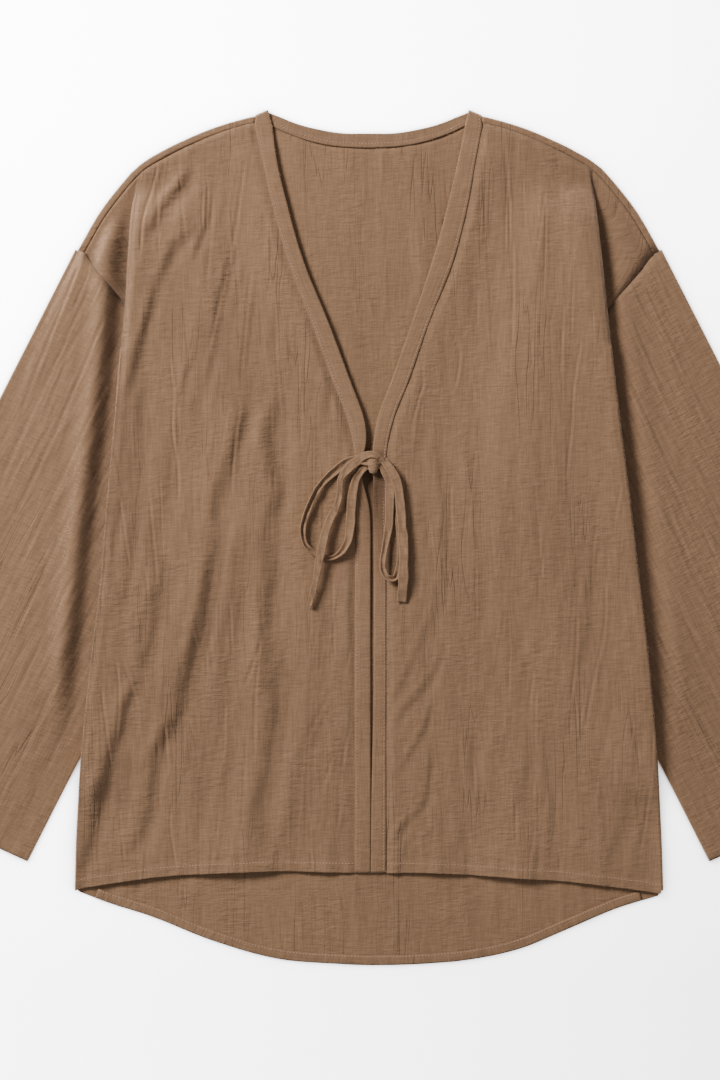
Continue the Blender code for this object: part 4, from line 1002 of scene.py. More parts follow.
# Each row: half the width of the groove, its depth, and points down it
FRONT_CREASES = (
    (1.3, 0.80, ((-189.5, 335.2), (-194.8, 312.8), (-201.2, 290.2), (-204.8, 251.6))),
    (1.3, 0.75, ((-111.2, 341.6), (-115.7, 308.2), (-120.2, 276.8), (-127.4, 242.6), (-134.6, 212.0),
        (-140.0, 185.0), (-144.5, 167.0))),
    (1.1, 0.50, ((-148.1, 319.9), (-149.8, 294.8), (-149.0, 272.2))),
    (1.0, 0.45, ((-144.5, 321.8), (-145.3, 292.9), (-146.2, 269.6))),
    (1.2, 0.60, ((-177.8, 158.0), (-175.1, 123.8), (-176.0, 96.8), (-171.5, 60.8), (-170.6, 31.9))),
    (1.1, 0.55, ((-105.8, 242.6), (-109.4, 204.8), (-113.0, 168.8), (-115.7, 137.2))),
    (1.0, 0.45, ((-84.2, 215.6), (-83.2, 159.8), (-80.5, 123.8), (-79.7, 74.2))),
    (1.1, 0.50, ((-52.6, 188.6), (-56.2, 168.8), (-59.0, 141.8), (-60.8, 113.0), (-61.6, 83.2))),
    (1.3, 0.70, ((-114.8, 123.8), (-119.2, 95.0), (-122.0, 65.2), (-123.8, 33.8))),
    (1.2, 0.60, ((-222.8, 33.8), (-218.2, -2.2), (-213.8, -31.1))),
    (1.2, 0.60, ((-201.2, -27.4), (-197.6, -58.1))),
    (1.2, 0.60, ((-226.3, -110.2), (-223.7, -146.2), (-226.3, -182.2))),
    (1.2, 0.65, ((-239.8, -135.5), (-235.3, -173.2), (-230.8, -211.1))),
    (1.2, 0.60, ((-221.0, -112.0), (-212.0, -137.2), (-206.6, -160.7))),
    (1.4, 0.85, ((-183.2, -166.1), (-182.2, -191.2), (-180.5, -212.8))),
    (1.3, 0.70, ((-159.8, -81.5), (-153.5, -103.0))), (1.2, 0.60, ((-146.2, -103.0), (-145.3, -131.8))),
    (1.1, 0.50, ((-163.3, -162.5), (-154.3, -189.5))),
    (1.2, 0.60, ((-176.8, -236.2), (-178.7, -256.1), (-176.0, -281.2), (-172.3, -304.7))),
    (1.2, 0.70, ((-221.8, -270.4), (-220.1, -292.1))), (1.5, 0.60, ((-76.0, -23.9), (-81.5, -49.1))),
    (1.5, 0.60, ((-95.9, -88.7), (-104.9, -114.8), (-113.0, -135.5))),
    (1.2, 0.50, ((-97.7, -92.2), (-102.2, -146.2), (-103.0, -200.2))),
    (1.4, 0.60, ((-12.2, -56.2), (-14.8, -92.2), (-21.2, -117.5))),
    (1.4, 0.60, ((-32.9, -135.5), (-41.9, -151.7), (-56.2, -180.5))),
    (1.4, 0.65, ((-14.8, -146.2), (-16.7, -168.8), (-21.2, -186.8), (-23.9, -207.5))),
    (1.4, 0.60, ((-31.9, -193.1), (-41.9, -225.5))), (1.2, 0.50, ((-25.7, -236.2), (-28.4, -263.2))),
    (1.2, 0.60, ((-52.6, -281.2), (-50.9, -301.1))), (1.3, 0.60, ((-190.3, -182.2), (-189.5, -200.2))),
    (1.2, 0.50, ((-196.7, 33.8), (-193.1, -6.8), (-189.5, -47.2))),
    (1.1, 0.45, ((-129.2, -146.2), (-130.1, -200.2))), (1.0, 0.40, ((-124.7, -56.2), (-122.9, -110.2))),
    (1.2, 0.60, ((129.2, 267.8), (129.2, 213.8), (128.2, 167.0))),
    (1.0, 0.40, ((158.8, 303.8), (157.1, 213.8))),
    (1.1, 0.50, ((190.3, 177.8), (184.1, 141.8), (181.3, 96.8), (176.0, 51.8))),
    (1.2, 0.55, ((72.5, 186.8), (80.5, 167.0), (77.9, 132.8))),
    (1.0, 0.40, ((126.5, 308.2), (127.4, 283.9))), (1.0, 0.40, ((96.8, 222.8), (97.7, 186.8))),
    (1.1, 0.45, ((91.4, 141.8), (97.7, 105.8))), (1.2, 0.50, ((50.0, 141.8), (44.6, 123.8), (39.1, 101.2))),
    (1.1, 0.50, ((32.9, 60.8), (31.9, 15.8))), (1.1, 0.45, ((145.3, 177.8), (146.2, 149.0))),
    (1.2, 0.60, ((204.8, 15.8), (199.3, -16.7))), (1.3, 0.65, ((155.2, -13.1), (154.3, -40.1))),
    (1.2, 0.60, ((212.0, -38.2), (209.2, -92.2), (203.0, -117.5), (195.8, -157.1), (191.2, -180.5))),
    (1.2, 0.55, ((148.1, -114.8), (144.5, -150.8))),
    (1.2, 0.60, ((186.8, -65.2), (185.0, -110.2), (181.3, -146.2))),
    (1.1, 0.45, ((73.4, 51.8), (74.2, -2.2))), (1.0, 0.40, ((95.9, -20.2), (96.8, -77.9))),
    (1.0, 0.40, ((109.4, 15.8), (113.0, -38.2))), (1.2, 0.50, ((20.2, -105.8), (20.2, -128.2))),
    (1.1, 0.45, ((255.2, -164.2), (251.6, -227.2), (244.3, -281.2))),
    (1.1, 0.45, ((233.6, -146.2), (237.2, -182.2))), (1.2, 0.50, ((131.8, -236.2), (131.0, -299.2))),
    (1.1, 0.45, ((94.0, -200.2), (95.0, -236.2))), (1.0, 0.40, ((172.3, -281.2), (170.6, -306.4))),
    (1.1, 0.50, ((226.3, 51.8), (219.2, 15.8))),
)

# Each row: height of the noise, lean, size across and down the cloth, and seed
FRONT_WAVES = ((0.5, 0.0, 24.0, 170.0, 5), (0.3, 0.06, 9.0, 60.0, 6), (0.18, -0.04, 4.2, 24.0, 7))
FRONT_DRAPES = ((0.8, -0.14, 15.0, 105.0, 12), (0.32, -0.2, 7.5, 42.0, 13))
FOLD_WANDER = ((3.6, 0.0, 46.0, 40.0, 8), (1.7, 0.0, 16.0, 19.0, 9))
FOLD_STRENGTH = ((0.5, 0.0, 34.0, 46.0, 10),)
FOLD_SHARE = 0.98               # the mean share of its listed height that a fold has
HEM_PUCKER = ((0.22, 0.0, 5.5, 30.0, 17),)
RIGHT_DRAPE = (0.35, 0.75)      # share of the drapes on the smoother right side, high up and low down
FRONT_SCATTER = {"count": 150, "span": np.array(((-250.0, -310.0), (250.0, 340.0))), "seed": 11,
                 "length": (30, 120), "depth": (0.1, 0.36)}
DEEPEST_SINK = 0.35             # the cloth sinks no further than this below its mean layer
SINK_SOFTNESS = 0.2
DOUBLED = 0.45                  # the turned-up hem stands this much higher
HEM_DEPTH = 10.5
EASE_OFF = 1.7                  # the front lies this far off the back, so its folds can sink

# The front hem lifts off the back in a few places: middle of the wave, half its width, and its rise
HEM_WAVES = ((-205.0, 26.0, 1.2), (-118.0, 44.0, 3.4), (-40.0, 26.0, 1.2), (62.0, 30.0, 1.4),
             (128.0, 40.0, 3.0), (206.0, 28.0, 1.4))
HEM_WAVE_HEIGHT = 70.0


def front_relief(x, y):
    """Sum of long folds, listed creases, scattered creases, hem waves and wave noise, over the floor."""
    total = EASE_OFF + wave_sum(x, y, FRONT_WAVES)
    rightward = RIGHT_DRAPE[0] + (RIGHT_DRAPE[1] - RIGHT_DRAPE[0]) * ease((100.0 - y) / 300.0)
    draped = np.where(x < 0, 1.0, rightward)
    total += draped * wave_sum(x, y, FRONT_DRAPES)
    wander = wave_sum(x, y, FOLD_WANDER)
    strength = FOLD_SHARE + wave_sum(x, y, FOLD_STRENGTH)
    for row in FRONT_FOLDS:
        total += strength * fold(x + wander, y, *row)
    for row in FRONT_CREASES:
        total += groove(x, y, *row)
    above_hem = y - smooth(x, HEM["across"], HEM["front_up"])
    near_hem = ease(1 - above_hem / HEM_WAVE_HEIGHT)
    for middle, half, rise in HEM_WAVES:
        total += rise * near_hem * np.clip(1 - ((x - middle) / half)**2, 0, None)**2
    total += scattered(x, y, **FRONT_SCATTER)
    doubled = ease((HEM_DEPTH - above_hem) / 1.5)
    pucker = wave_sum(x, y, HEM_PUCKER) * ease(1 - np.abs(above_hem - 6.0) / 9.0)
    above = total + DEEPEST_SINK
    floored = 0.5 * (above + np.sqrt(above**2 + SINK_SOFTNESS)) - DEEPEST_SINK
    return floored + DOUBLED * doubled + pucker


COLUMN_STEP = 1.1               # columns lie this far apart across the cloth
EDGE_FOLD_PAINTED_SHADE = 0.45            # painted shade on the rounded fold of the body's edge, which dims the light it catches
fronts = {}
front_flats = {}
for side in SIDES:
    middle, cells, place, flat, _ = body_surface(side, True, COLUMN_STEP, PLEAT_ROW_STEP, front_relief)
    front_flats[side] = middle[:, :flat]
    # painted shade beside the body's edge and on its fold, and painted shadow under the bow
    shade = valley_shade(side, np.abs(middle[..., 0]), middle[..., 1])
    shade[:, :flat + 2 * ARC_STEPS] = 0
    shade[:, flat - 1:flat + ARC_STEPS] = EDGE_FOLD_PAINTED_SHADE
    shade += bow_shade(middle[..., 0], middle[..., 1])
    fronts[side] = cloth_piece("front_cloth_" + side, middle, OUTSIDE, WALL, cells, place, shade,
                               turned=side == "left")
    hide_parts("front_" + side)


# %% [markdown]
# The back is the lower layer. Only three parts of it show: the inside behind the open neck, the hem
# below the fronts, and the strip that wraps over each shoulder to meet the front at its seam. So it is
# worked out on a wider grid than the fronts. Its wrap is a half circle over the shoulder, followed by a
# flat return, put in front of its first row. Down the middle, between the two bands and under the bow, a
# slit of the back shows that hardly any light reaches, and it has a shade of its own.

# %% Back panel
BACK_STEP = 2.0
BACK_ROW_STEP = 4.6
BACK_WAVES = ((0.5, 0.0, 16.0, 80.0, 25), (0.3, 0.05, 6.0, 34.0, 26))
BACK_SCATTER = {"count": 260, "span": np.array(((-250.0, -384.0), (250.0, 370.0))), "seed": 27}
NECK_ROW = 5                    # the open neck starts at this row of the bands' table
GAP_SHADE = 1.1
GAP_ACROSS = (-1.0, 8.0)
GAP_ALONG = (-170.0, 84.0, 160.0, 14.0)
RETURN_LEVEL = 0.5              # height of the back's middle where it lies on the table
WRAP_END = 0.3


def back_relief(x, y):
    """Waves and creases where the inside shows, and almost none where the fronts press it flat."""
    left_seam = smooth(y, BANDS["up"], BANDS["left_seam"])
    right_seam = smooth(y, BANDS["up"], BANDS["right_seam"])
    seam = np.where(x < 0, left_seam, right_seam)
    in_neck = ease((np.abs(seam) - np.abs(x)) / 10.0) * (y > BANDS["up"][NECK_ROW])
    hem = smooth(x, HEM["across"], HEM["front_up"])
    at_hem = ease((hem - y) / 6.0)
    total = wave_sum(x, y, BACK_WAVES) + scattered(x, y, **BACK_SCATTER)
    return np.maximum(total * np.maximum(in_neck, at_hem), -0.25)


def shoulder_wrap(middle, covered):
    """Rows before the first: a flat return, then a half circle round the shoulder to the back's level."""
    first = middle[0]
    way = unit(np.gradient(first[:, :2], axis=0))
    outward = np.stack([-way[:, 1], way[:, 0]], axis=1)
    outward[outward[:, 1] < 0] *= -1
    bend = SHOULDER_WRAP - SHOULDER_R - 0.5
    turn = np.linspace(0, math.pi, ARC_STEPS + 1)
    reach = np.concatenate([[WRAP_END, 0.5 * bend], bend + SHOULDER_R * np.sin(turn)])
    height = RETURN_LEVEL + SHOULDER_R * np.concatenate([[2, 2], 1 + np.cos(turn)])
    extra = raised(first[None, :, :2] + reach[:, None, None] * outward[None], height[:, None])
    return np.concatenate([extra, middle]), np.tile(covered, (len(extra), 1))


halves = [body_surface(side, False, BACK_STEP, BACK_ROW_STEP, back_relief) for side in SIDES]
back_middle = np.concatenate([halves[0][0][:, ::-1], halves[1][0][:, 1:]], axis=1)
back_place = np.concatenate([halves[0][2][:, ::-1], halves[1][2][:, 1:]], axis=1)
back_cells = np.concatenate([halves[0][1][:, ::-1], halves[1][1]], axis=1)
beyond_neck = np.abs(back_middle[0, :, 0]) >= SEAM["out"][0] - 1.0
back_middle, wrap_cells = shoulder_wrap(back_middle, beyond_neck[1:] & beyond_neck[:-1])
back_place = np.concatenate([back_middle[:len(wrap_cells), :, :2], back_place])
# painted shade in the slit between the bands, under the bow
gap_shade = bell(back_middle[..., 0], *GAP_ACROSS) * window(back_middle[..., 1], *GAP_ALONG)
back = cloth_piece("back_cloth", back_middle, INSIDE, WALL, np.concatenate([wrap_cells, back_cells]),
                   back_place, GAP_SHADE * gap_shade)
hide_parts("back_panel")
print("back rows", len(back_middle))


# %% [markdown]
# A sleeve is a flat tube. Its ring starts at the underarm fold, runs under to the outer edge, round it
# and back over the top. Its grain runs along the arm, so its creases do too, and the place map is turned
# with it. At the armhole the tube's end bends where the shoulder seam ends.

# %% Sleeves
SLEEVE_TOP = np.array([265.1, 256.0])
SLEEVE_HIDDEN = np.array([155.0, 8.0])
SLEEVE_CUFF_IN = np.array([306.4, -291.2])
SLEEVE_CUFF_OUT = np.array([494.5, -194.6])
SLEEVE_OUTER_R = 1.3
SLEEVE_INNER_R = 0.9
CUFF_BOW = 3.0                  # how far the middle of the cuff stands out of a straight line
CUFF_HEM = 11.0                 # the cuff is turned up this far and stands this much higher there
CUFF_DOUBLED = 0.5
SLEEVE_ROWS = 150
SLEEVE_FLAT = 118
SLEEVE_LOW = 0.5                # height of the middle of its lower layer
MOUTH_CORNER = 0.9              # the share of its width that meets the end of the shoulder seam
SLEEVE_PUFF = 8                 # it rises to its rounded sides in an eighth of its width
SLEEVE_WAVES = ((0.75, 0.0, 22.0, 150.0, 0), (0.32, 0.0, 8.0, 48.0, 1), (0.24, 0.0, 4.0, 18.0, 2))
SLEEVE_SCATTER = {"count": 150, "span": np.array(((0.0, 0.0), (211.0, 510.0))),
                  "length": (25, 90), "depth": (0.1, 0.4)}
SLEEVE_SINK = 0.3
SLEEVE_EASE_OFF = 0.6

# Each row: half the width of the groove, its depth, and points as distances across and along the arm
SLEEVE_CREASES = (
    (1.6, 0.70, ((10.0, 8.0), (15.0, 70.0), (22.0, 150.0))),
    (1.4, 0.60, ((28.0, 20.0), (31.0, 110.0), (34.0, 210.0))),
    (1.5, 0.65, ((52.0, 40.0), (58.0, 140.0), (60.0, 260.0))),
    (1.3, 0.55, ((80.0, 90.0), (83.0, 200.0), (84.0, 330.0))),
    (1.4, 0.60, ((20.0, 200.0), (24.0, 300.0), (26.0, 400.0))),
    (1.4, 0.60, ((46.0, 260.0), (48.0, 380.0), (50.0, 470.0))),
    (1.5, 0.65, ((104.0, 200.0), (108.0, 320.0), (108.0, 430.0))),
    (1.4, 0.60, ((132.0, 260.0), (134.0, 380.0), (136.0, 480.0))),
    (1.3, 0.55, ((160.0, 300.0), (163.0, 400.0), (162.0, 490.0))),
    (1.3, 0.55, ((186.0, 320.0), (188.0, 400.0), (190.0, 480.0))),
    (1.3, 0.55, ((70.0, 340.0), (72.0, 420.0), (74.0, 500.0))),
)


def sleeve_relief(across, along, seed):
    """Long creases from the table, scattered ones, and wave noise, all along the arm."""
    total = wave_sum(across, along, SLEEVE_WAVES, seed)
    for row in SLEEVE_CREASES:
        total += groove(across, along, *row)
    total += scattered(across, along, seed=seed + 3, **SLEEVE_SCATTER)
    return np.maximum(total, -SLEEVE_SINK) + SLEEVE_EASE_OFF


def sleeve_surface(side, seed):
    """The tube's middle points: one row for each ring, with its place along and across the arm."""
    place = np.linspace(0, 1, SLEEVE_ROWS + 1)[:, None]
    route = np.array([SLEEVE_SEAM_END, SLEEVE_HIDDEN, SLEEVE_CUFF_IN])
    reached = run_along(route)
    reached = reached / reached[-1]
    inner = np.stack([np.interp(place[:, 0], reached, route[:, axis]) for axis in (0, 1)], axis=1)
    outer = SLEEVE_TOP + place * (SLEEVE_CUFF_OUT - SLEEVE_TOP)
    way = unit(SLEEVE_CUFF_OUT - SLEEVE_TOP)
    across = unit(outer - inner)
    outer_turn = outer - (SLEEVE_OUTER_R + WALL / 2) * across
    inner_turn = inner + (SLEEVE_INNER_R + WALL / 2) * across
    corner_move = (np.array([SEAM["out"][-1], SEAM["up"][-1]])
                   - inner_turn[0] - MOUTH_CORNER * (outer_turn[0] - inner_turn[0]))

    t = np.linspace(0, 1, SLEEVE_FLAT + 1)[None, :]
    flat = inner_turn[:, None] + t[..., None] * (outer_turn - inner_turn)[:, None]
    bend = np.minimum(t / MOUTH_CORNER, (1 - t) / (1 - MOUTH_CORNER))
    flat[0] += bend[0][:, None] * corner_move
    under = raised(flat, SLEEVE_LOW)
    turn = np.linspace(0, math.pi, ARC_STEPS + 1)[None, 1:-1]
    round_outer = outer_turn[:, None] + SLEEVE_OUTER_R * np.sin(turn)[..., None] * across[:, None]
    near_outer = np.clip(1 - (1 - t) * SLEEVE_PUFF, 0, 1)**2
    near_inner = np.clip(1 - t * SLEEVE_PUFF, 0, 1)**2
    rise = (2 * SLEEVE_OUTER_R - 2 * LAYER) * near_outer + (2 * SLEEVE_INNER_R - 2 * LAYER) * near_inner
    axis_along = (flat - SLEEVE_TOP) @ way
    square = np.array([way[1], -way[0]])
    from_outer = np.abs((flat - SLEEVE_TOP) @ square)
    shape = sleeve_relief(from_outer, axis_along, seed) * window(t, 0.0, 1.0, 0.04, 0.04)
    to_cuff = (1 - place) * np.linalg.norm(SLEEVE_CUFF_OUT - SLEEVE_TOP)
    shape = shape * ease((place * 520.0 + 2.0) / 8.0) + CUFF_DOUBLED * ease((CUFF_HEM - to_cuff) / 1.5)
    shape = shape * hidden_fade(side, flat)
    shape = shape + side_swell(side, flat[..., 0], flat[..., 1]) * ease((1 - t) / 0.1)
    over = raised(flat, SLEEVE_LOW + 2 * LAYER + rise + shape)[:, ::-1]
    round_inner = inner_turn[:, None] - SLEEVE_INNER_R * np.sin(turn)[..., None] * across[:, None]
    middle = np.concatenate([
        under,
        raised(round_outer, SLEEVE_LOW + SLEEVE_OUTER_R * (1 - np.cos(turn))),
        over,
        raised(round_inner, SLEEVE_LOW + SLEEVE_INNER_R * (1 + np.cos(turn))),
        under[:, :1],
    ], axis=1)
    cuff_share = np.clip(np.linalg.norm(middle[-1, :, :2] - inner[-1], axis=1)
                         / np.linalg.norm(outer[-1] - inner[-1]), 0, 1)
    bowed = CUFF_BOW * 4 * cuff_share * (1 - cuff_share) * place**4
    middle[..., :2] += bowed[..., None] * way
    from_corner = np.linalg.norm(middle[0, :, :2] - SLEEVE_TOP, axis=1)
    middle[0, :, :2] -= (0.5 + 3.0 * bell(from_corner, 0.0, 10.0))[:, None] * way
    from_top = middle[..., :2] - SLEEVE_TOP
    spot = np.stack([np.abs(from_top @ square), from_top @ way], axis=2)
    middle[..., 0] *= SIDES[side]
    return middle, spot


def hidden_fade(side, plan):
    """1 where the sleeve shows and 0 under the body, eased over a few millimetres inside its edge."""
    return ease((plan[..., 0] - edge_out(plan[..., 1], side) + 26.0) / 14.0)


sleeves = {}
for side, seed in (("left", 51), ("right", 71)):
    middle, spot = sleeve_surface(side, seed)
    # painted shade in the valley beside the body's edge
    shade = valley_shade(side, np.abs(middle[..., 0]), middle[..., 1])
    sleeves[side] = cloth_piece("sleeve_cloth_" + side, middle, OUTSIDE, WALL, place=spot, shade=shade,
                                turned=side == "right")
    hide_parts("sleeve_" + side)


# %% [markdown]
# The bands are strips folded double and sewn down each front edge. They lie level with the fronts but are
# thicker, so they stand up a little and their long edges are rounded. A row of topstitching runs beside
# the seam and pulls small puckers into the cloth. The knot pinches the left band in, and at the top each
# band runs on over the shoulder, so that no gap shows where it meets the band of the neck.

# %% Front bands
BAND_CELLS = 14                 # cells across the band
BAND_ROW_STEP = 2.0
BAND_LEVEL = 2.0
BAND_RISE = 14.0                # length over which a band rises to the shoulder's rounded edge
CROWN = 0.45
STITCH_DENT = (0.22, 0.06)      # depth of the groove along the stitching, and its share of the width
BAND_WAVES = ((0.35, 0.0, 60.0, 48.0, 83),)
CAP_OVER = 0.5                  # the band lies this far over the cap of the neck band
CAP_STEPS = 5
PINCH = 8.5                     # the knot pulls the left band's free edge back by this much
STITCH_IN = 0.17                # share of the band's width between its seam and the topstitching


def band_profile(share):
    """Cross-section height: the crown times the root of one less the fourth power of the distance from
    the middle, less a bell-shaped groove along the stitching."""
    crown = CROWN * np.sqrt(np.clip(1 - (2 * share - 1)**4, 0, 1))
    return crown - STITCH_DENT[0] * bell(share, 1 - STITCH_IN, STITCH_DENT[1])


def front_band(side):
    """A strip from the free edge to the seam, down the front, with puckers along the stitching."""
    sign = SIDES[side]
    up = np.arange(BANDS["up"][-1], BANDS["up"][0] - 0.4, -BAND_ROW_STEP)
    seam = smooth(up, BANDS["up"], BANDS[side + "_seam"]) - 0.15 * sign
    free = smooth(up, BANDS["up"], BANDS[side + "_free"])
    if side == "left":
        free = free - PINCH * bell(up, 60.0, 24.0)
    share = np.linspace(0, 1, BAND_CELLS + 1)
    x = free[:, None] + share[None, :] * (seam - free)[:, None]
    y = np.broadcast_to(up[:, None], x.shape)
    near_top = np.clip(1 - (up[0] - up) / BAND_RISE, 0, 1)**2
    height = BAND_LEVEL + (2 * SHOULDER_R - 2 * LAYER) * near_top[:, None] + band_profile(share)[None, :]
    pucker = 0.16 * waves(x * 0.3, y, 6.0, 5.0, 81) * (0.3 + bell(share, 1 - STITCH_IN, 0.25))[None, :]
    height = height + neckline_lift(y, np.zeros_like(y)) + knot_lift(x, y)
    strip = np.stack([x, y, height + pucker + wave_sum(x, y, BAND_WAVES)], axis=2)

    # over the shoulder: straight on to the tip, then a quarter turn down round it
    radius = SHOULDER_R + CAP_OVER
    turn = np.linspace(0, 0.5 * math.pi, ARC_STEPS + 1)[1:]
    steps = np.linspace(0, 1, CAP_STEPS + 1)[1:, None]
    ends = np.array([[NECK_TIP[0] * sign, NECK_TIP[1]], [NECK_TIP_SEAM[0] * sign, NECK_TIP_SEAM[1]]])
    ends = ends[0] + share[:, None] * (ends[1] - ends[0]) - [0, SHOULDER_R + BAND_WALL / 2]
    on = strip[0, :, :2] + steps[..., None] * (ends - strip[0, :, :2])
    round_tip = ends[None] + np.stack([0 * turn, radius * np.sin(turn)], axis=1)[:, None]
    drop = np.concatenate([np.zeros(len(steps)), radius * (1 - np.cos(turn))])
    plan = np.concatenate([on, round_tip])[::-1]
    return np.concatenate([raised(plan, strip[0, :, 2] - drop[::-1, None]), strip])


bands = {}
band_grids = {}
for side in SIDES:
    middle = front_band(side)
    band_grids[side] = middle
    # painted shadow under the bow
    bands[side] = cloth_piece("band_cloth_" + side, middle, BAND, BAND_WALL,
                              shade=bow_shade(middle[..., 0], middle[..., 1]), turned=side == "right")
    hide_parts("band_" + side)


# %% [markdown]
# Round the back of the neck the band lies on the table side of the cloth. At each shoulder it turns over
# the top, under the end of the front band. The turn is again a half circle, carried across the band's
# width.

# %% Neck band
NECK_LOW = 0.7                  # height of the strip's middle on the table side
NECK_HIGH = 0.7 + 2 * SHOULDER_R
NECK_EASE = 0.04                # share by which the free edge is shorter than the seam
NECK_COLUMNS = 40               # from the shoulder to the middle of the back
NECK_CELLS = 10                 # across the strip
NECK_OVERLAP = 1.09             # the strip reaches past the seam, to this share of its width
CAP_FROM = 80.0                 # beyond this far out the strip has the band's crown


def neck_edge(edge, start, turn_place, shortened):
    """One edge of the strip: the front band's end, a half circle down over the shoulder, the table's line
    to the middle of the back, and the same mirrored."""
    radius = (NECK_HIGH - NECK_LOW) / 2
    turn = np.linspace(0, math.pi, 2 * ARC_STEPS + 1)
    reach = radius * np.sin(turn) - radius - BAND_WALL / 2
    out = np.linspace(NECK_STATIONS[-2], 0, NECK_COLUMNS)
    out = out * (1 - shortened * ease(out / NECK_STATIONS[-2]))
    half = np.concatenate([
        [[start, BANDS["up"][-1], NECK_HIGH]],
        np.column_stack([np.full_like(turn, turn_place[0]), turn_place[1] + reach,
                         NECK_LOW + radius * (1 + np.cos(turn))]),
        np.column_stack([out, smooth(out, NECK["out"], NECK[edge]), np.full_like(out, NECK_LOW)]),
    ])
    return np.concatenate([half, half[:-1][::-1] * np.array([-1, 1, 1])])


def neck_band():
    """The strip between its two edges: the free edge plus shares of the way to the seam."""
    free = neck_edge("free", BANDS["right_free"][-1], NECK_TIP, NECK_EASE)
    seam = neck_edge("seam", BANDS["right_seam"][-1] - 0.3, NECK_TIP_SEAM, 0.0)
    share = np.linspace(0, 1, NECK_CELLS + 1)[None, :, None]
    middle = free[:, None] + NECK_OVERLAP * share * (seam - free)[:, None]
    capped = ease((np.abs(middle[..., 0]) - CAP_FROM) / 6.0)
    middle[..., 2] += capped * (band_profile(share[..., 0]) - 0.6) * ease((middle[..., 2] - 1.5) / 1.5)
    flat = ease((90.0 - np.abs(middle[..., 0])) / 8.0)
    middle[..., 2] += flat * (0.9 + 0.12 * waves(middle[..., 0], middle[..., 1], 5.0, 9.0, 91))
    return middle


neck_middle = neck_band()
neck = cloth_piece("neck_band_cloth", neck_middle, BAND, BAND_WALL)
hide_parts("band_neck")


# %% [markdown]
# The back hem is turned up once towards the inside and stitched, which shows as a narrow strip along the
# lower edge. The stitching gathers it slightly, so it puckers in a few places.

# %% Turned-up back hem
TURN_UP = 9.0
TURN_UP_REACH = 246.0           # it comes out from under the fronts this far from the middle
TURN_UP_LEVEL = 1.85
TURN_UP_COLUMNS = 7


def turned_hem():
    """The hem line moved in along its own normal, from near the fold to the raw edge's stitching."""
    across = np.linspace(-TURN_UP_REACH, TURN_UP_REACH, 300)
    line = np.column_stack([across, smooth(across, HEM["across"], HEM["back_up"])])
    way = unit(np.gradient(line, axis=0))
    inward = np.stack([-way[:, 1], way[:, 0]], axis=1)
    reach = np.linspace(0.5, TURN_UP, TURN_UP_COLUMNS)
    plan = line[:, None] + reach[None, :, None] * inward[:, None]
    pucker = 0.35 * waves(plan[..., 0], plan[..., 1] * 0.2, 7.0, 30.0, 93)
    crown = 0.25 * np.sin(np.linspace(0, math.pi, TURN_UP_COLUMNS))
    return raised(plan, TURN_UP_LEVEL + pucker + crown[None, :])


turned_middle = turned_hem()
turned = cloth_piece("back_hem_cloth", turned_middle[::-1], INSIDE, WALL)
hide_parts("hem_turn_up")


# %% [markdown]
# Each tie is a finished strip, sewn from a folded ribbon of the same cloth. In the bow it twists, so each
# point of its middle line has a roll as well as a place. The strip's two edges are the middle line moved
# sideways by half its width, turned by the roll. A strip that stands on edge is also folded lengthwise
# like a gutter, so both its rims catch the light and its middle lies in shade.
#
# Every strip starts inside the knot, so its visible length and what the knot hides are one piece of
# cloth. The real bow is springy and stands a little higher than its plain solids, and the strips wave
# and narrow slightly along their length, as soft ribbons do.

# %% Ties of the bow
KNOT_CENTRE = np.array([4.2, 67.0, 10.4])
KNOT_SIZE = np.array([11.5, 19.5, 8.6])
KNOT_REACH = 15.0               # a strip that ends this near to the knot goes back into it

# Columns of each table: x, y, height, roll in degrees, width
LOOP_LEFT = (
    (-1.1, 71.0, 3.0, 2.0, 6.4), (-9.0, 70.6, 2.5, 6.0, 7.6), (-18.2, 68.0, 2.6, 14.0, 8.2),
    (-30.6, 59.0, 3.6, 30.0, 8.6), (-41.9, 48.5, 4.4, 44.0, 8.8), (-54.2, 25.9, 4.8, 52.0, 8.8),
    (-59.3, 4.0, 4.8, 56.0, 8.4), (-56.0, -7.6, 4.6, 54.0, 7.6), (-48.6, -13.8, 3.4, 42.0, 5.8),
    (-40.7, -17.6, 3.1, 40.0, 5.2), (-33.0, -18.4, 3.3, 42.0, 6.0), (-25.0, -14.0, 4.2, 48.0, 7.6),
    (-18.8, -4.0, 3.6, 30.0, 8.4), (-16.5, 9.0, 2.6, 14.0, 9.0), (-15.6, 26.0, 2.3, 8.0, 9.0),
    (-13.8, 42.0, 2.3, 4.0, 8.6), (-10.4, 54.0, 2.4, 4.0, 7.4), (-2.6, 63.0, 2.6, 2.0, 5.8),
)
TAIL_LEFT = (
    (-3.0, 73.0, 4.9, 0.0, 6.6), (-10.4, 68.4, 4.9, 0.0, 8.4), (-19.4, 60.4, 5.3, 0.0, 8.2),
    (-24.8, 52.8, 5.3, 0.0, 6.2), (-25.8, 42.8, 5.0, 0.0, 5.6), (-26.8, 33.8, 5.0, 0.0, 6.2),
    (-30.6, 23.8, 5.2, 0.0, 7.0), (-35.1, 14.8, 5.6, 0.0, 7.6), (-38.6, 4.8, 6.2, 0.0, 8.0),
    (-41.6, -8.6, 6.9, 0.0, 8.2), (-44.4, -22.0, 6.6, 0.0, 8.0), (-47.4, -38.0, 6.0, 0.0, 6.6),
    (-50.6, -52.0, 5.2, 0.0, 5.4), (-53.0, -62.0, 4.4, 0.0, 3.6),
)
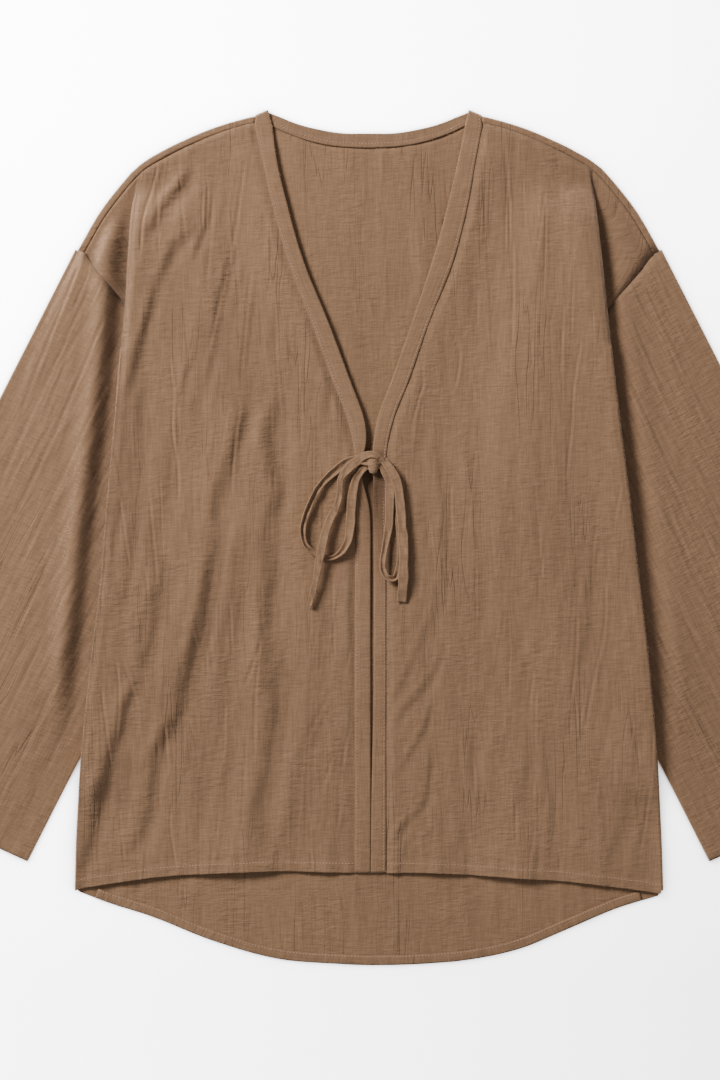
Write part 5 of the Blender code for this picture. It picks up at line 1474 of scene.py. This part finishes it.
LOOP_RIGHT = (
    (11.2, 64.0, 4.0, 0.0, 5.4), (14.6, 58.0, 3.9, 0.0, 7.0), (19.0, 50.0, 3.7, 0.0, 8.2),
    (19.2, 40.5, 3.5, 0.0, 8.6), (18.8, 27.0, 3.4, 0.0, 9.0), (18.2, 12.0, 3.1, 6.0, 8.6),
    (16.2, -1.0, 3.2, 14.0, 7.8), (14.0, -12.0, 3.8, 22.0, 6.6), (12.6, -22.0, 4.4, 26.0, 6.4),
    (13.2, -30.0, 4.6, 30.0, 7.0), (17.4, -36.4, 4.4, 40.0, 7.0), (22.8, -37.0, 3.2, 34.0, 6.0),
    (27.6, -28.0, 2.2, 6.0, 7.0), (29.6, -12.0, 1.9, 0.0, 8.2), (28.2, 9.0, 1.9, 0.0, 8.6),
    (25.8, 31.0, 1.9, 0.0, 8.6), (21.4, 49.0, 1.9, 0.0, 8.0), (14.6, 62.0, 2.1, 0.0, 6.4),
)
TAIL_RIGHT = (
    (10.8, 69.6, 5.7, 0.0, 7.0), (19.4, 61.0, 5.6, 0.0, 8.2), (25.0, 50.6, 5.5, 0.0, 8.4),
    (27.6, 38.0, 5.3, 0.0, 8.4), (28.8, 25.0, 5.6, 0.0, 8.6), (29.8, 12.0, 5.6, 0.0, 8.8),
    (31.4, -8.0, 5.6, 0.0, 9.2), (31.3, -26.0, 5.8, 0.0, 9.0), (31.1, -38.0, 5.4, 0.0, 9.4),
    (30.6, -46.0, 4.6, 0.0, 9.8), (29.8, -58.0, 1.8, 0.0, 9.8),
)
TIE_COLUMNS = 9
TIE_STEP = 1.2                  # rows lie this far apart along a tie, and on the wrap
WRAP_STEP = 0.9
BOW_STAND = 1.3                 # the bow stands higher than its solids by this factor
TIE_WAVE = 0.55                 # height of its waves, its mean width and how much that changes
TIE_NARROW = 0.93
TIE_CHANGE = 0.1
TIE_CUP = 0.35                  # its rims stand this much higher than its middle
ROLLED = 0.35                   # how much of the table's roll the strip keeps as a turn
FOLDED = 0.95                   # and how much of it becomes the lengthwise fold


def ribbon_surface(rows, step, seed):
    """The strip's grid and its length. A point is the middle line, plus its share of half the width to the
    side, plus a rise off the face: the root of the share's square plus a little, which is a soft V."""
    table = np.array(rows, dtype=float)
    into = [KNOT_CENTRE[0], KNOT_CENTRE[1]]
    table = np.concatenate([[[*into, *table[0, 2:]]], table])
    if np.hypot(*(table[-1, :2] - into)) < KNOT_REACH:
        table = np.concatenate([table, [[*into, *table[-1, 2:]]]])
    knots = run_along(table[:, :3])
    at = np.linspace(0, knots[-1], int(knots[-1] / step) + 1)
    line = np.stack([smooth(at, knots, column) for column in table.T], axis=1)
    line[:, 2] = BOW_STAND * line[:, 2] + LOW + LAYER + 0.5 * EASE_OFF + knot_lift(line[:, 0], line[:, 1])
    way = unit(np.gradient(line[:, :3], axis=0))
    level = unit(np.stack([way[:, 1], -way[:, 0], np.zeros(len(way))], axis=1))
    upward = np.cross(level, way)
    roll = np.radians(ROLLED * line[:, 3])[:, None]
    gutter = np.radians(FOLDED * line[:, 3])[:, None, None]
    side = np.cos(roll) * level + np.sin(roll) * upward
    face = np.cos(roll) * upward - np.sin(roll) * level
    share = np.linspace(-1, 1, TIE_COLUMNS)[None, :, None]
    wave = TIE_WAVE * waves(at[:, None] + 3 * share[..., 0], share[..., 0] * 2, 5.5, 1.5, seed)[..., None]
    narrow = TIE_NARROW + TIE_CHANGE * waves(at, 0 * at, 9.0, 9.0, seed + 20)
    half = (line[:, 4] * narrow)[:, None, None] / 2
    rise = half * np.sin(gutter) * (np.sqrt(share**2 + 0.03) - 0.6) + TIE_CUP * share**2 + wave
    middle = line[:, None, :3] + share * half * np.cos(gutter) * side[:, None] + rise * face[:, None]
    return middle, knots[-1]


tie_lengths = {}
ties = {}
for name, rows, seed in (("loop_left", LOOP_LEFT, 101), ("tail_left", TAIL_LEFT, 102),
                         ("loop_right", LOOP_RIGHT, 103), ("tail_right", TAIL_RIGHT, 104)):
    middle, tie_lengths[name] = ribbon_surface(rows, TIE_STEP, seed)
    ties[name] = cloth_piece(name + "_cloth", middle, TIE, TIE_WALL, turned=True)
    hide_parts(name)


# %% [markdown]
# The knot is a pinched lump of the same strip. Its form is an egg that is narrower at one end and
# ridged by the cloth gathered in it: the radius at each latitude is the egg's, and two sine waves that
# wind round it make the ridges. One more strip crosses it as the wrap that holds the loops.

# %% Knot
KNOT_WALL = 0.4
KNOT_RINGS = 40
KNOT_SECTORS = 48
POLE = 0.499 * math.pi          # just short of the pole, where a ring would shrink to one point


def knot_surface():
    """A closed grid: half the size times the root of the cosine of the latitude, times the ridges."""
    lat = np.linspace(-POLE, POLE, KNOT_RINGS)[:, None]
    lon = np.linspace(0, 2 * math.pi, KNOT_SECTORS + 1)[None, :]
    ridges = 1 + 0.035 * np.sin(13 * lat + 2.2 * np.cos(lon + 0.5)) + 0.03 * np.sin(21 * lat + 3 * lon)
    round_size = np.cos(lat)**0.5 * (0.86 + 0.14 * np.sin(1.3 * lat + 0.4)) * ridges
    x = KNOT_SIZE[0] / 2 * round_size * np.cos(lon)
    y = KNOT_SIZE[1] / 2 * np.sin(lat) + 0 * lon
    z = KNOT_SIZE[2] / 2 * round_size * np.sin(lon)
    return np.stack([x, y, z], axis=2) + KNOT_CENTRE


# Columns: x, y, height, roll in degrees, width
KNOT_WRAP = (
    (-8.0, 70.5, 4.6, 0.0, 7.4), (-3.0, 73.4, 6.4, 0.0, 7.0), (2.6, 74.4, 7.4, 0.0, 6.4),
    (7.6, 72.8, 7.2, 0.0, 6.4), (11.4, 69.4, 5.4, 0.0, 6.8), (12.4, 64.6, 3.6, 0.0, 7.4),
)
knot = cloth_piece("knot_cloth", knot_surface(), TIE, KNOT_WALL, turned=True)
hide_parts("tie_knot")
wrap_middle, _ = ribbon_surface(KNOT_WRAP, WRAP_STEP, 105)
knot_wrap = cloth_piece("knot_wrap_cloth", wrap_middle, TIE, TIE_WALL, turned=True)


# %% [markdown]
# Sewing is the last detail. A stitch is a short rounded bar of thread along its seam. All the stitches of
# one seam are one mesh: a small bar is copied to every place along the line at once, turned by the
# line's direction.

# %% Stitches
STITCH_PITCH = 2.9
STITCH_LENGTH = 1.9
STITCH_HALF = 0.34              # half the thread's thickness
SHOULDERS = 0.7                 # a stitch keeps its thickness over this share of its length
TAPER = 0.35                    # and is this share as thick at its two ends
STITCHED_AT = 8.0               # the front hem is sewn this far above its edge
NECK_STITCH_COLUMN = 7
HEM_STITCH_COLUMN = 5


def on_line(line, run, at):
    """Points at given distances along a line, each between its two neighbours."""
    return np.stack([np.interp(at, run, column) for column in line.T], axis=1)


def stitches(name, line, rise):
    """Bars along a line, each a ring of four corners at four stations. A corner is the bar's place plus
    its distances along the line, beside it and up."""
    run = run_along(line)
    at = np.arange(STITCH_PITCH, run[-1] - STITCH_PITCH, STITCH_PITCH)
    place = on_line(line, run, at)
    way = unit(on_line(line, run, at + 0.5) - place)
    beside = unit(np.stack([way[:, 1], -way[:, 0], np.zeros(len(way))], axis=1))
    along = np.array([-1, -SHOULDERS, SHOULDERS, 1])[:, None] * np.ones((1, 4)) * STITCH_LENGTH / 2
    ring = np.array([[-1, 0], [0, 1], [1, 0], [0, -1]]) * STITCH_HALF
    thick = np.array([TAPER, 1, 1, TAPER])[:, None]
    offset_side = thick * ring[None, :, 0]
    offset_up = thick * ring[None, :, 1] + rise
    points = (place[:, None, None] + along[None, ..., None] * way[:, None, None]
              + offset_side[None, ..., None] * beside[:, None, None]
              + offset_up[None, ..., None] * np.array([0, 0, 1.0]))
    body = [(r * 4 + c, r * 4 + (c + 1) % 4, (r + 1) * 4 + (c + 1) % 4, (r + 1) * 4 + c)
            for r in range(3) for c in range(4)]
    template = np.array(body + [(3, 2, 1, 0), (12, 13, 14, 15)])
    faces = template[None] + 16 * np.arange(len(at))[:, None, None]
    points = points.reshape(-1, 3) * MM
    points[:, 1] += CENTRING
    thing = mesh_object(name, points.tolist(), faces.reshape(-1, 4).tolist(), THREAD)
    thing.data.shade_smooth()
    print(name, len(at), "stitches")
    return thing


sewing = {}
hem_row = -1 - HEM_ROWS[::-1].index(STITCHED_AT)
band_column = round((1 - STITCH_IN) * BAND_CELLS)
for side in SIDES:
    beside_band = band_grids[side][:, band_column]
    sewing["hem_" + side] = stitches("hem_stitches_" + side, front_flats[side][hem_row], WALL / 2)
    sewing["band_" + side] = stitches("band_stitches_" + side, beside_band, BAND_WALL / 2)
sewing["neck"] = stitches("neck_stitches", neck_middle[:, NECK_STITCH_COLUMN], BAND_WALL / 2)
sewing["back_hem"] = stitches("back_hem_stitches", turned_middle[:, HEM_STITCH_COLUMN], WALL / 2)


# %% [markdown]
# Last, each piece is attached to the garment's one body, on which it rides.

# %% Attaching the pieces
def declare(piece):
    """Attach one cloth piece to the garment's one body."""
    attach(piece, "root")


for thing in sewing.values():
    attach(thing, "root")
for thing in (knot, knot_wrap):
    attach(thing, "root")

declare(back)
for side in SIDES:
    declare(fronts[side])
    declare(sleeves[side])
    declare(bands[side])
declare(neck)
declare(turned)
for name, length in tie_lengths.items():
    declare(ties[name])
